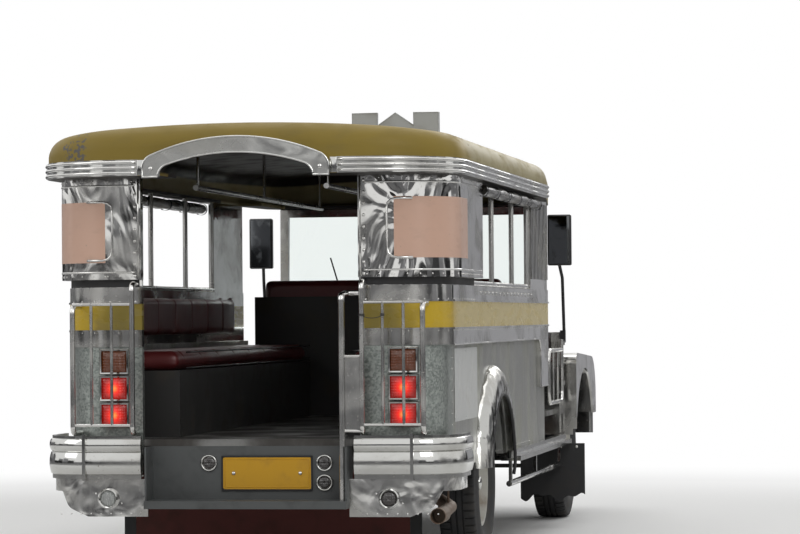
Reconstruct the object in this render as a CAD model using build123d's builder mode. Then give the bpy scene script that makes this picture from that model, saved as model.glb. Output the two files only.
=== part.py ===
from build123d import *
import math
import os

# A stainless-bodied jeepney. Millimetres, +Z up, front towards -Y, the driver's left at +X.
# The origin is on the ground at the middle of the vehicle's length and width.

os.makedirs("parts", exist_ok=True)

# Lengthwise places
TAIL_Y = 3000
REAR_Y = 2750
WINDOW_REAR_Y = 1830
WINDOW_FRONT_Y = -250
CAB_REAR_Y = -970
COWL_Y = -1700
GRILLE_Y = -2790
NOSE_Y = -3000
REAR_AXLE_Y = 1150
FRONT_AXLE_Y = -2250

# Heights
FLOOR_Z = 650
LOWER_BODY_Z = 500
LOWER_TOP_Z = 1060
BAND_BOTTOM_Z = 1136
BAND_TOP_Z = 1252
SILL_Z = 1325
PANEL_Z = 1360
ROOF_Z = 1810
EAVE_TOP_Z = 1880
CROWN_Z = 2040

# Half-widths of the body, each measured to its outer face, and the lower body's corner
LOWER_CORNER = 220
LOWER_HALF = 849
BELT_OUT = 25
PANEL_OUT = 37
EAVE_OUT = 29
BUMPER_OUT = 7
BELT_HALF = LOWER_HALF + BELT_OUT
PANEL_HALF = BELT_HALF + PANEL_OUT
ROOF_HALF = PANEL_HALF + EAVE_OUT
BUMPER_HALF = ROOF_HALF + BUMPER_OUT
FENDER_HALF = 935
MOUTH_HALF = 490

# Walls and running clearances
WALL = 35
SHEET = 12
SEAT_GAP = 0.3
RUN_GAP = 6

# Wheels and axles
WHEEL_R = 375
TYRE_W = 200
RIM_R = 196
RIM_W = 150
FRONT_TRACK_HALF = 745
REAR_TRACK_HALF = 725
SPINDLE_R = 24
HUB_GAP = 1
KINGPIN_X = 618
KINGPIN_R = 13

# Chassis
RAIL_X = 380
RAIL_W = 60
RAIL_H = 120
FLOOR_SHEET = 30
RAIL_TOP_Z = FLOOR_Z - FLOOR_SHEET
RAIL_BOTTOM_Z = RAIL_TOP_Z - RAIL_H


def keep(piece, label):
    """Name a finished piece and write its STEP file."""
    piece.part.label = label
    export_step(piece.part, f"parts/{label}.step")


def side_wall(half, wall, rear, front, corner, mouth):
    """Plan of one body side: from the rear doorway round the corner and along to its front end."""
    with BuildSketch() as plan:
        with BuildLine():
            FilletPolyline(
                (mouth, rear),
                (half, rear),
                (half, front),
                (half - wall, front),
                (half - wall, rear - wall),
                (mouth, rear - wall),
                radius=[0, corner, 0, 0, corner - wall, 0],
                close=True,
            )
        make_face()
    return plan.sketch


def tube(points, diameter, bend):
    """A round tube along straight runs with tangent bends."""
    with BuildPart() as pipe:
        with BuildLine() as route:
            FilletPolyline(*points, radius=bend)
        with BuildSketch(Plane(origin=route.line @ 0, z_dir=route.line % 0)):
            Circle(diameter / 2)
        sweep()
    return pipe.part


def rod(start, end, diameter):
    """A straight round bar between two points."""
    run = Vector(*end) - Vector(*start)
    with BuildPart() as bar:
        with BuildSketch(Plane(origin=start, z_dir=run)):
            Circle(diameter / 2)
        extrude(amount=run.length)
    return bar.part


def block(x0, x1, y0, y1, z0, z1):
    """A plain block between two corners."""
    with BuildPart() as box:
        with Locations(((x0 + x1) / 2, (y0 + y1) / 2, (z0 + z1) / 2)):
            Box(x1 - x0, y1 - y0, z1 - z0)
    return box.part


# Chassis: two rails, crossmembers, body sills and spring hangers.

SPRING_HALF = 520
SPRING_EYE_R = 18
EYE_Z = WHEEL_R + 87
HANGER_T = 8
SPRING_W = 60
CROSS_W = 60
CROSS_H = 70
CROSS_YS = [2600, 1800, 560, -300, -1200, -2740]
SILL_YS = [2450, 1750, 480, -400, -1100]
SILL_H = 40
PIN_R = 8
RAIL_REAR_Y = 2700
RAIL_FRONT_Y = -2850

with BuildPart() as chassis_frame:
    for side in (-1, 1):
        x = side * RAIL_X
        add(block(x - RAIL_W / 2, x + RAIL_W / 2, RAIL_FRONT_Y, RAIL_REAR_Y, RAIL_BOTTOM_Z, RAIL_TOP_Z))
        for y in SILL_YS:
            inner = RAIL_X
            outer = LOWER_HALF - WALL - SEAT_GAP
            low, high = sorted((side * inner, side * outer))
            add(block(low, high, y - CROSS_W / 2, y + CROSS_W / 2, RAIL_TOP_Z - SILL_H, RAIL_TOP_Z))
        for axle_y in (FRONT_AXLE_Y, REAR_AXLE_Y):
            for end in (-1, 1):
                eye_y = axle_y + end * SPRING_HALF
                for cheek in (-1, 1):
                    cheek_x = x + cheek * (SPRING_W / 2 + HANGER_T / 2 + SEAT_GAP)
                    add(
                        block(
                            cheek_x - HANGER_T / 2,
                            cheek_x + HANGER_T / 2,
                            eye_y - SPRING_EYE_R,
                            eye_y + SPRING_EYE_R,
                            EYE_Z - SPRING_EYE_R,
                            RAIL_BOTTOM_Z + HANGER_T,
                        )
                    )
                pin_half = SPRING_W / 2 + HANGER_T
                add(rod((x - pin_half, eye_y, EYE_Z), (x + pin_half, eye_y, EYE_Z), 2 * PIN_R))
    for y in CROSS_YS:
        add(
            block(-RAIL_X, RAIL_X, y - CROSS_W / 2, y + CROSS_W / 2, RAIL_TOP_Z - CROSS_H, RAIL_TOP_Z)
        )
keep(chassis_frame, "chassis_frame")

# Leaf springs: three flat leaves over each axle, each shorter than the one above.

LEAF_T = 9
LEAF_DROP = 24
LEAVES = [
    # half length, drop below the eye line at the axle
    (SPRING_HALF, 0),
    (SPRING_HALF * 0.72, 1),
    (SPRING_HALF * 0.45, 2),
]


def leaf_pack(axle_y, x):
    """One spring: an eye at each end, an arched main leaf and two shorter leaves below it."""
    with BuildPart() as pack:
        with BuildSketch(Plane.YZ.offset(x - SPRING_W / 2)):
            for half, step in LEAVES:
                rise = LEAF_DROP * (half / SPRING_HALF) ** 2
                low = EYE_Z - LEAF_DROP - step * LEAF_T
                with BuildLine():
                    top = ThreePointArc(
                        (axle_y - half, low + rise + LEAF_T),
                        (axle_y, low + LEAF_T),
                        (axle_y + half, low + rise + LEAF_T),
                    )
                    bottom = ThreePointArc(
                        (axle_y - half, low + rise),
                        (axle_y, low),
                        (axle_y + half, low + rise),
                    )
                    Line(top @ 0, bottom @ 0)
                    Line(top @ 1, bottom @ 1)
                make_face()
            with Locations((axle_y - SPRING_HALF, EYE_Z), (axle_y + SPRING_HALF, EYE_Z)):
                Circle(SPRING_EYE_R)
        extrude(amount=SPRING_W)
        for end in (-1, 1):
            with BuildSketch(Plane.YZ.offset(x - SPRING_W / 2)):
                with Locations((axle_y + end * SPRING_HALF, EYE_Z)):
                    Circle(PIN_R + SEAT_GAP)
            extrude(amount=SPRING_W, mode=Mode.SUBTRACT)
    return pack.part


with BuildPart() as leaf_springs:
    for axle_y in (FRONT_AXLE_Y, REAR_AXLE_Y):
        for side in (-1, 1):
            add(leaf_pack(axle_y, side * RAIL_X))
keep(leaf_springs, "leaf_springs")

SPRING_LOW_Z = EYE_Z - LEAF_DROP - 2 * LEAF_T

# Front axle: an I-beam with spring seats and an eye for each kingpin.

EYE_R = 30
EYE_H = 60
BEAM_H = EYE_H
BEAM_W = 56
BEAM_WEB = 16
BEAM_FLANGE = 14
SEAT_L = 120

with BuildPart() as front_axle:
    with BuildSketch(Plane.YZ.offset(-KINGPIN_X)):
        with Locations((FRONT_AXLE_Y, WHEEL_R)):
            Rectangle(BEAM_W, BEAM_H)
            for face in (-1, 1):
                with Locations((face * (BEAM_W + BEAM_WEB) / 4, 0)):
                    Rectangle((BEAM_W - BEAM_WEB) / 2, BEAM_H - 2 * BEAM_FLANGE, mode=Mode.SUBTRACT)
    extrude(amount=2 * KINGPIN_X)
    for side in (-1, 1):
        with BuildSketch(Plane.XY.offset(WHEEL_R - EYE_H / 2)):
            with Locations((side * KINGPIN_X, FRONT_AXLE_Y)):
                Circle(EYE_R)
        extrude(amount=EYE_H)
    for side in (-1, 1):
        with Locations((side * KINGPIN_X, FRONT_AXLE_Y, WHEEL_R)):
            Cylinder(KINGPIN_R + SEAT_GAP, BEAM_H * 2, mode=Mode.SUBTRACT)
        seat_x = side * RAIL_X
        add(
            block(
                seat_x - SPRING_W / 2,
                seat_x + SPRING_W / 2,
                FRONT_AXLE_Y - SEAT_L / 2,
                FRONT_AXLE_Y + SEAT_L / 2,
                WHEEL_R + BEAM_H / 2 - BEAM_FLANGE,
                SPRING_LOW_Z,
            )
        )
keep(front_axle, "front_axle")

# Steering knuckles: a yoke on the kingpin, a backing plate, a wheel spindle and a steering arm.

YOKE_T = 22
YOKE_GAP = 1.5
YOKE_R = 28
PLATE_R = 140
PLATE_T = 8
PLATE_X = KINGPIN_X + 38
SPINDLE_END_X = FRONT_TRACK_HALF + 40
ARM_L = 150
ARM_IN = 0
ARM_Z = WHEEL_R - EYE_H / 2 - YOKE_GAP - YOKE_T
ARM_T = YOKE_T
ARM_W = 30
JOINT_R = 9

TIE_Y = FRONT_AXLE_Y + ARM_L
TIE_X = KINGPIN_X - ARM_IN

with BuildPart() as knuckle_left:
    for face in (-1, 1):
        lug_z = WHEEL_R + face * (EYE_H / 2 + YOKE_GAP + YOKE_T / 2)
        with Locations((KINGPIN_X, FRONT_AXLE_Y, lug_z)):
            Cylinder(YOKE_R, YOKE_T)
        add(
            block(
                KINGPIN_X,
                PLATE_X,
                FRONT_AXLE_Y - YOKE_R,
                FRONT_AXLE_Y + YOKE_R,
                lug_z - YOKE_T / 2,
                lug_z + YOKE_T / 2,
            )
        )
    with Locations((KINGPIN_X, FRONT_AXLE_Y, WHEEL_R)):
        Cylinder(KINGPIN_R, EYE_H + 2 * YOKE_GAP + 2 * YOKE_T)
    with BuildSketch(Plane.YZ.offset(PLATE_X)):
        with Locations((FRONT_AXLE_Y, WHEEL_R)):
            Circle(PLATE_R)
    extrude(amount=PLATE_T)
    add(rod((PLATE_X, FRONT_AXLE_Y, WHEEL_R), (SPINDLE_END_X, FRONT_AXLE_Y, WHEEL_R), 2 * SPINDLE_R))
    with BuildSketch(Plane.XY.offset(ARM_Z)):
        with BuildLine():
            Polyline(
                (KINGPIN_X - ARM_W / 2, FRONT_AXLE_Y),
                (TIE_X - ARM_W / 2, TIE_Y),
                (TIE_X + ARM_W / 2, TIE_Y),
                (KINGPIN_X + ARM_W / 2, FRONT_AXLE_Y),
                close=True,
            )
        make_face()
        with Locations((TIE_X, TIE_Y)):
            Circle(ARM_W / 2)
            Circle(JOINT_R + SEAT_GAP, mode=Mode.SUBTRACT)
    extrude(amount=ARM_T)
keep(knuckle_left, "knuckle_left")

with BuildPart() as knuckle_right:
    add(knuckle_left.part)
    mirror(about=Plane.YZ, mode=Mode.REPLACE)
keep(knuckle_right, "knuckle_right")

# Tie rod: a bar under the two steering arms, with a stud up into each.

TIE_R = 12
TIE_Z = ARM_Z - TIE_R - YOKE_GAP

with BuildPart() as tie_rod:
    add(rod((-TIE_X, TIE_Y, TIE_Z), (TIE_X, TIE_Y, TIE_Z), 2 * TIE_R))
    for side in (-1, 1):
        add(rod((side * TIE_X, TIE_Y, TIE_Z - TIE_R), (side * TIE_X, TIE_Y, ARM_Z + ARM_T), 2 * JOINT_R))
keep(tie_rod, "tie_rod")

# Rear axle: a tube with a banjo housing, spring seats, backing plates and spindles.

AXLE_R = 42
BANJO_R = 150
BANJO_HALF = 70
REAR_PLATE_X = REAR_TRACK_HALF - 95
REAR_SPINDLE_END_X = REAR_TRACK_HALF + 40

with BuildPart() as rear_axle:
    add(rod((-REAR_PLATE_X, REAR_AXLE_Y, WHEEL_R), (REAR_PLATE_X, REAR_AXLE_Y, WHEEL_R), 2 * AXLE_R))
    with BuildSketch(Plane.XZ.offset(-REAR_AXLE_Y - BANJO_HALF)):
        with Locations((0, WHEEL_R)):
            Circle(BANJO_R)
    extrude(amount=2 * BANJO_HALF)
    with Locations(
        Location((0, REAR_AXLE_Y - BANJO_HALF - 50, WHEEL_R), (90, 0, 0)),
    ):
        Cone(BANJO_R * 0.8, 45, 100)
    for side in (-1, 1):
        low, high = sorted((side * REAR_PLATE_X, side * (REAR_PLATE_X + PLATE_T)))
        with BuildSketch(Plane.YZ.offset(low)):
            with Locations((REAR_AXLE_Y, WHEEL_R)):
                Circle(PLATE_R)
        extrude(amount=high - low)
        add(
            rod(
                (side * REAR_PLATE_X, REAR_AXLE_Y, WHEEL_R),
                (side * REAR_SPINDLE_END_X, REAR_AXLE_Y, WHEEL_R),
                2 * SPINDLE_R,
            )
        )
        seat_x = side * RAIL_X
        add(
            block(
                seat_x - SPRING_W / 2,
                seat_x + SPRING_W / 2,
                REAR_AXLE_Y - SEAT_L / 2,
                REAR_AXLE_Y + SEAT_L / 2,
                WHEEL_R,
                SPRING_LOW_Z,
            )
        )
keep(rear_axle, "rear_axle")

# Wheels: a pressed rim with its drum and hub, and a plain tyre seated between the flanges.

RIM_T = 8
FLANGE_H = 12
DRUM_R = 128
DRUM_IN = 72
HUB_R = 46
HUB_OUT = 52
DISC_X = 22
TYRE_GAP = 0.5
TREAD_HALF = 78
SIDE_R = 60
BEAD_HALF = RIM_W / 2 - RIM_T - TYRE_GAP

with BuildPart() as wheel_rim:
    with BuildSketch(Plane.XZ):
        with BuildLine():
            Polyline(
                (-RIM_W / 2, RIM_R - RIM_T),
                (-RIM_W / 2, RIM_R + FLANGE_H),
                (-RIM_W / 2 + RIM_T, RIM_R + FLANGE_H),
                (-RIM_W / 2 + RIM_T, RIM_R),
                (RIM_W / 2 - RIM_T, RIM_R),
                (RIM_W / 2 - RIM_T, RIM_R + FLANGE_H),
                (RIM_W / 2, RIM_R + FLANGE_H),
                (RIM_W / 2, RIM_R - RIM_T),
                close=True,
            )
        make_face()
        with BuildLine():
            Polyline(
                (DISC_X, RIM_R - RIM_T + 1),
                (DISC_X + RIM_T, RIM_R - RIM_T + 1),
                (DISC_X + 24, 110),
                (DISC_X + 2, 80),
                (DISC_X + 2, HUB_R),
                (HUB_OUT, HUB_R - 8),
                (HUB_OUT, 0),
                (HUB_OUT - RIM_T, 0),
                (HUB_OUT - RIM_T, SPINDLE_R + HUB_GAP),
                (-DRUM_IN, SPINDLE_R + HUB_GAP),
                (-DRUM_IN, HUB_R),
                (-DRUM_IN + 14, HUB_R),
                (-DRUM_IN + 14, DRUM_R),
                (DISC_X - RIM_T, DRUM_R),
                (DISC_X + 14, 132),
                close=True,
            )
        make_face()
    revolve(axis=Axis.X)

with BuildPart() as wheel_tyre:
    with BuildSketch(Plane.XZ):
        with BuildLine():
            left = Line((-BEAD_HALF, RIM_R + TYRE_GAP), (-BEAD_HALF, RIM_R + FLANGE_H + 6))
            Line((BEAD_HALF, RIM_R + TYRE_GAP), (-BEAD_HALF, RIM_R + TYRE_GAP))
            right = Line((BEAD_HALF, RIM_R + FLANGE_H + 6), (BEAD_HALF, RIM_R + TYRE_GAP))
            wall_r = (RIM_R + WHEEL_R) / 2 + 8
            for face in (-1, 1):
                foot = (face * BEAD_HALF, RIM_R + FLANGE_H + 6)
                shoulder = (face * TREAD_HALF, WHEEL_R - 10)
                ThreePointArc(foot, (face * TYRE_W / 2, wall_r), shoulder)
            ThreePointArc((-TREAD_HALF, WHEEL_R - 10), (0, WHEEL_R), (TREAD_HALF, WHEEL_R - 10))
        make_face()
    revolve(axis=Axis.X)

WHEELS = [
    # corner, half track, axle, side of the vehicle
    ("front_left", FRONT_TRACK_HALF, FRONT_AXLE_Y, 1),
    ("front_right", FRONT_TRACK_HALF, FRONT_AXLE_Y, -1),
    ("rear_left", REAR_TRACK_HALF, REAR_AXLE_Y, 1),
    ("rear_right", REAR_TRACK_HALF, REAR_AXLE_Y, -1),
]
for corner, half_track, axle_y, side in WHEELS:
    place = Location((side * half_track, axle_y, WHEEL_R), (0, 0, 0 if side > 0 else 180))
    for shape, kind in ((wheel_rim, "rim"), (wheel_tyre, "tyre")):
        with BuildPart() as wheel:
            add(shape.part.moved(place))
        keep(wheel, f"{kind}_{corner}")

# Drive line: one plain engine block with its gearbox, the radiator, and the shaft to the rear axle.

ENGINE_HALF = 220
ENGINE_Y0 = -2560
ENGINE_Y1 = -1860
ENGINE_Z0 = 450
ENGINE_Z1 = 900
MOUNT_L = 80
BELL_R = 113
BELL_L = 170
BOX_R = 85
BOX_END_Y = -1330
SHAFT_Z = 505
SHAFT_R = 36
RADIATOR_HALF = 250
RADIATOR_Y = GRILLE_Y + 150
RADIATOR_T = 70
RADIATOR_TOP_Z = 930

with BuildPart() as engine_block:
    add(block(-ENGINE_HALF, ENGINE_HALF, ENGINE_Y0, ENGINE_Y1, ENGINE_Z0, ENGINE_Z1))
    for side in (-1, 1):
        low, high = sorted((side * (RAIL_X - RAIL_W / 2 - SEAT_GAP), side * ENGINE_HALF))
        mid = (ENGINE_Y0 + ENGINE_Y1) / 2
        add(block(low, high, mid - MOUNT_L / 2, mid + MOUNT_L / 2, RAIL_BOTTOM_Z + 20, RAIL_BOTTOM_Z + 60))
    add(rod((0, ENGINE_Y1 - 1, SHAFT_Z), (0, ENGINE_Y1 + BELL_L, SHAFT_Z), 2 * BELL_R))
    add(rod((0, ENGINE_Y1, SHAFT_Z), (0, BOX_END_Y - 60, SHAFT_Z), 2 * BOX_R))
    add(rod((0, BOX_END_Y - 70, SHAFT_Z), (0, BOX_END_Y, SHAFT_Z), 2 * SHAFT_R))
    add(
        block(
            -RADIATOR_HALF,
            RADIATOR_HALF,
            RADIATOR_Y - RADIATOR_T,
            RADIATOR_Y,
            RAIL_TOP_Z,
            RADIATOR_TOP_Z,
        )
    )
keep(engine_block, "engine_block")

SHAFT_REAR_Y = REAR_AXLE_Y - BANJO_HALF - 100
with BuildPart() as propeller_shaft:
    add(rod((0, BOX_END_Y + SEAT_GAP, SHAFT_Z - 4), (0, SHAFT_REAR_Y - SEAT_GAP, WHEEL_R + 4), 2 * SHAFT_R - 6))
    split(bisect_by=Plane.XZ.offset(-SHAFT_REAR_Y + SEAT_GAP), keep=Keep.TOP)
    split(bisect_by=Plane.XZ.offset(-BOX_END_Y - SEAT_GAP), keep=Keep.BOTTOM)
keep(propeller_shaft, "propeller_shaft")

# Exhaust: down from the engine, a silencer under the floor, and a tail pipe at the right rear corner.

PIPE_D = 56
TIP_D = 70
TIP_X = -840
TIP_Z = 315
TIP_END_Y = 2800
TIP_START_Y = 2660
PIPE_HANGER_Y = 2500
SILENCER_X = -545
SILENCER_Z = 490
SILENCER_D = 150
with BuildPart() as exhaust:
    add(
        tube(
            [
                (-ENGINE_HALF - SEAT_GAP, -1990, 440 + PIPE_D),
                (-285, -1990, 440 + PIPE_D),
                (-285, -1850, 430),
                (-285, -1560, 430),
                (SILENCER_X, -1250, 440),
                (SILENCER_X, -700, SILENCER_Z),
                (SILENCER_X, 60, SILENCER_Z),
                (-520, 760, 520),
                (-515, 1500, 520),
                (-560, 1900, 430),
                (TIP_X, 2430, TIP_Z + 20),
                (TIP_X, TIP_START_Y + 40, TIP_Z),
            ],
            PIPE_D,
            40,
        )
    )
    add(rod((SILENCER_X, -560, SILENCER_Z), (SILENCER_X, -60, SILENCER_Z), SILENCER_D))
    add(rod((TIP_X, TIP_START_Y, TIP_Z + 1), (TIP_X, TIP_END_Y, TIP_Z), TIP_D))
    add(rod((TIP_X, PIPE_HANGER_Y, TIP_Z), (TIP_X, PIPE_HANGER_Y, LOWER_BODY_Z - SEAT_GAP), 10))
    with BuildSketch(Plane.XZ.offset(-TIP_END_Y - 1)):
        with Locations((TIP_X, TIP_Z)):
            Circle(TIP_D / 2 - 3)
    extrude(amount=90, mode=Mode.SUBTRACT)
keep(exhaust, "exhaust")

TANK_H = 190
with BuildPart() as fuel_tank:
    add(
        block(
            RAIL_X + 50,
            LOWER_HALF - 101,
            SILL_YS[3] - 20,
            SILL_YS[2] + 20,
            RAIL_TOP_Z - SILL_H - TANK_H,
            RAIL_TOP_Z - SILL_H - SEAT_GAP,
        )
    )
    fillet(fuel_tank.edges().filter_by(Axis.Y), 40)
keep(fuel_tank, "fuel_tank")

# Floor: one sheet with wheel wells, a dropped rear step and its riser.

WELL_HALF = 450
WELL_X = 575
FLOOR_HALF = LOWER_HALF - WALL - SEAT_GAP
FLOOR_REAR_Y = REAR_Y - WALL - SEAT_GAP
STEP_HALF = 452
STEP_Z = 385
STEP_T = 35
STEP_OUT_Y = 2900
RISER_T = 15
NUMBER_X = -72
NUMBER_Z = 500
PLATE_DEPTH = 8
PLATE_HOLE_PITCH = 300
PLATE_HOLE_R = 3.5

with BuildPart() as floor_pan:
    with BuildSketch(Plane.XY.offset(RAIL_TOP_Z)):
        with BuildLine():
            FilletPolyline(
                (-FLOOR_HALF, COWL_Y),
                (FLOOR_HALF, COWL_Y),
                (FLOOR_HALF, FLOOR_REAR_Y),
                (-FLOOR_HALF, FLOOR_REAR_Y),
                radius=[0, 0, LOWER_CORNER - WALL, LOWER_CORNER - WALL],
                close=True,
            )
        make_face()
        with Locations((0, REAR_Y - WALL)):
            Rectangle(2 * (MOUTH_HALF - SEAT_GAP), 2 * WALL)
        for side in (-1, 1):
            with Locations((side * (FLOOR_HALF + WELL_X) / 2, REAR_AXLE_Y)):
                Rectangle(FLOOR_HALF - WELL_X + 2, 2 * WELL_HALF, mode=Mode.SUBTRACT)
    extrude(amount=FLOOR_SHEET)
keep(floor_pan, "floor_pan")

with BuildPart() as rear_step:
    add(block(-STEP_HALF, STEP_HALF, REAR_Y - RISER_T, STEP_OUT_Y, STEP_Z - STEP_T, STEP_Z))
    add(block(-STEP_HALF, STEP_HALF, REAR_Y - RISER_T, REAR_Y, STEP_Z - STEP_T, RAIL_TOP_Z - SEAT_GAP))
    for side in (-1, 1):
        low, high = sorted((side * STEP_HALF, side * (STEP_HALF - 8)))
        add(block(low, high, REAR_Y - RISER_T, STEP_OUT_Y - 20, STEP_Z - STEP_T, RAIL_TOP_Z - SEAT_GAP))
    with BuildSketch(Plane.XZ.offset(-REAR_Y)):
        with Locations((NUMBER_X, NUMBER_Z)):
            with GridLocations(PLATE_HOLE_PITCH, 1, 2, 1):
                Circle(PLATE_HOLE_R)
    extrude(amount=RISER_T, mode=Mode.SUBTRACT)
keep(rear_step, "rear_step")

# Body sides: full-thickness walls with rounded rear corners, stacked as the real panels are.
# Ribbed pillar panels stand between the side windows and the cab doors.

BELT_CORNER = 240
PANEL_CORNER = 260
ARCH_R = 430
NECK_HALF = BELT_HALF - 5
NECK_WALL = 26
PANEL_WALL = 50
BEAD = 6
BEAD_H = 8
SKIN_TURN_W = 330
SKIN_TURN_Z = 800
RIB_PITCH = 60
RIB_W = 22
RIB_H = 7
rib_count = int((WINDOW_FRONT_Y - CAB_REAR_Y) / RIB_PITCH)

with BuildPart() as lower_body_panels:
    with BuildSketch(Plane.XY.offset(LOWER_BODY_Z)):
        add(side_wall(LOWER_HALF, WALL, REAR_Y, CAB_REAR_Y, LOWER_CORNER, MOUTH_HALF))
    extrude(amount=LOWER_TOP_Z - LOWER_BODY_Z)
    with BuildSketch(Plane.YZ.offset(LOWER_HALF - 2 * WALL)):
        with Locations((REAR_AXLE_Y, WHEEL_R)):
            Circle(ARCH_R)
    extrude(amount=3 * WALL, mode=Mode.SUBTRACT)
    mirror(about=Plane.YZ)
keep(lower_body_panels, "lower_body_panels")

with BuildPart() as belt_rails:
    for low, high, bead_low in (
        (LOWER_TOP_Z, BAND_BOTTOM_Z, BAND_BOTTOM_Z - BEAD_H),
        (BAND_TOP_Z, SILL_Z, BAND_TOP_Z),
    ):
        with BuildSketch(Plane.XY.offset(low)):
            add(side_wall(BELT_HALF, WALL, REAR_Y + 5, CAB_REAR_Y, BELT_CORNER, MOUTH_HALF))
        extrude(amount=high - low)
        with BuildSketch(Plane.XY.offset(bead_low)):
            add(
                side_wall(
                    BELT_HALF + BEAD, WALL, REAR_Y + 5 + BEAD, CAB_REAR_Y, BELT_CORNER + BEAD, MOUTH_HALF
                )
            )
        extrude(amount=BEAD_H)
    add(
        block(
            LOWER_HALF + SEAT_GAP,
            BELT_HALF,
            CAB_REAR_Y,
            CAB_REAR_Y + SKIN_TURN_W,
            SKIN_TURN_Z,
            LOWER_TOP_Z + 1,
        )
    )
    mirror(about=Plane.YZ)
keep(belt_rails, "belt_rails")

with BuildPart() as belt_band:
    with BuildSketch(Plane.XY.offset(BAND_BOTTOM_Z)):
        add(side_wall(BELT_HALF, WALL, REAR_Y + 5, CAB_REAR_Y, BELT_CORNER, MOUTH_HALF))
    extrude(amount=BAND_TOP_Z - BAND_BOTTOM_Z)
    mirror(about=Plane.YZ)
keep(belt_band, "belt_band")

with BuildPart() as upper_side_panels:
    with BuildSketch(Plane.XY.offset(SILL_Z)):
        add(side_wall(NECK_HALF, NECK_WALL, REAR_Y, WINDOW_REAR_Y, BELT_CORNER, MOUTH_HALF))
    extrude(amount=PANEL_Z - SILL_Z + WALL)
    with BuildSketch(Plane.XY.offset(PANEL_Z)):
        add(side_wall(PANEL_HALF, PANEL_WALL, REAR_Y + 20, WINDOW_REAR_Y, PANEL_CORNER, MOUTH_HALF))
    extrude(amount=ROOF_Z - PANEL_Z)
    add(block(NECK_HALF - NECK_WALL, NECK_HALF, CAB_REAR_Y, WINDOW_FRONT_Y, SILL_Z, ROOF_Z))
    for i in range(rib_count):
        y = CAB_REAR_Y + (i + 0.5) * RIB_PITCH
        add(block(NECK_HALF - 1, NECK_HALF + RIB_H, y - RIB_W / 2, y + RIB_W / 2, PANEL_Z + 20, ROOF_Z - 20))
    mirror(about=Plane.YZ)
keep(upper_side_panels, "upper_side_panels")

# Roof: a crowned hollow shell with rounded shoulders, a closed soffit at its overhang and an arched mouth.

ROOF_CORNER = 400
ROOF_FRONT_Y = -1640
ROOF_TAPER_Y = -400
ROOF_FRONT_HALF = 800
ROOF_NOSE_R = 180
SHOULDER_R = 95
CROWN_EDGE_Z = 1985
ROOF_T = 25
SOFFIT_T = 15
ARCH_IN_HALF = 345
ARCH_IN_TOP_Z = 1905
ARCH_W = 68
ARCH_HIP_R = 60


def roof_plan(inset):
    """Outline of the roof seen from above, drawn in by inset."""
    with BuildSketch() as plan:
        with BuildLine():
            FilletPolyline(
                (-ROOF_HALF + inset, TAIL_Y - inset),
                (ROOF_HALF - inset, TAIL_Y - inset),
                (ROOF_HALF - inset, ROOF_TAPER_Y),
                (ROOF_FRONT_HALF - inset, ROOF_FRONT_Y + inset),
                (-ROOF_FRONT_HALF + inset, ROOF_FRONT_Y + inset),
                (-ROOF_HALF + inset, ROOF_TAPER_Y),
                radius=[
                    ROOF_CORNER - inset,
                    ROOF_CORNER - inset,
                    ROOF_NOSE_R,
                    ROOF_NOSE_R,
                    ROOF_NOSE_R,
                    ROOF_NOSE_R,
                ],
                close=True,
            )
        make_face()
    return plan.sketch


def roof_dome(inset, base_z):
    """A solid dome: the plan cut off under a shallow crown arc, with rounded shoulders."""
    with BuildPart() as dome:
        with BuildSketch(Plane.XY.offset(base_z)):
            add(roof_plan(inset))
        extrude(amount=CROWN_Z + SHOULDER_R - base_z)
        with BuildSketch(Plane.XZ.offset(-TAIL_Y - 10)):
            with BuildLine():
                crown = ThreePointArc(
                    (-ROOF_HALF, CROWN_EDGE_Z - inset),
                    (0, CROWN_Z - inset),
                    (ROOF_HALF, CROWN_EDGE_Z - inset),
                )
                Polyline(
                    crown @ 1, (ROOF_HALF, base_z - 10), (-ROOF_HALF, base_z - 10), crown @ 0
                )
            make_face()
        extrude(amount=TAIL_Y - NOSE_Y, mode=Mode.INTERSECT)
        top = dome.faces().sort_by(Axis.Z)[-1]
        fillet(top.edges(), SHOULDER_R - inset)
    return dome.part


def arch_mouth(half, top_z, low_z):
    """An arched doorway outline in the XZ plane: straight feet under a flattened arch."""
    spring_z = low_z + (top_z - low_z) * 0.45
    with BuildSketch() as outline:
        with BuildLine():
            arc = ThreePointArc((-half, spring_z), (0, top_z), (half, spring_z))
            Polyline(arc @ 1, (half, low_z), (-half, low_z), arc @ 0)
        make_face()
        fillet(outline.vertices().group_by(Axis.Y)[-1], ARCH_HIP_R)
    return outline.sketch


CABIN_HALF = PANEL_HALF - PANEL_WALL
with BuildPart() as roof_shell:
    add(roof_dome(0, ROOF_Z))
    add(roof_dome(ROOF_T, ROOF_Z + SOFFIT_T), mode=Mode.SUBTRACT)
    with BuildSketch(Plane.XY.offset(ROOF_Z - 10)):
        with Locations((0, (REAR_Y + CAB_REAR_Y) / 2)):
            Rectangle(2 * (CABIN_HALF - 20), REAR_Y - CAB_REAR_Y - 120)
        with Locations((0, CAB_REAR_Y)):
            Rectangle(2 * ROOF_FRONT_HALF - 160, 1000)
    extrude(amount=SOFFIT_T + 20, mode=Mode.SUBTRACT)
    with BuildSketch(Plane.XZ.offset(-TAIL_Y - 10)):
        add(arch_mouth(ARCH_IN_HALF, ARCH_IN_TOP_Z, ROOF_Z - 20))
    extrude(amount=TAIL_Y - REAR_Y + 150, mode=Mode.SUBTRACT)
keep(roof_shell, "roof_shell")

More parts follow.
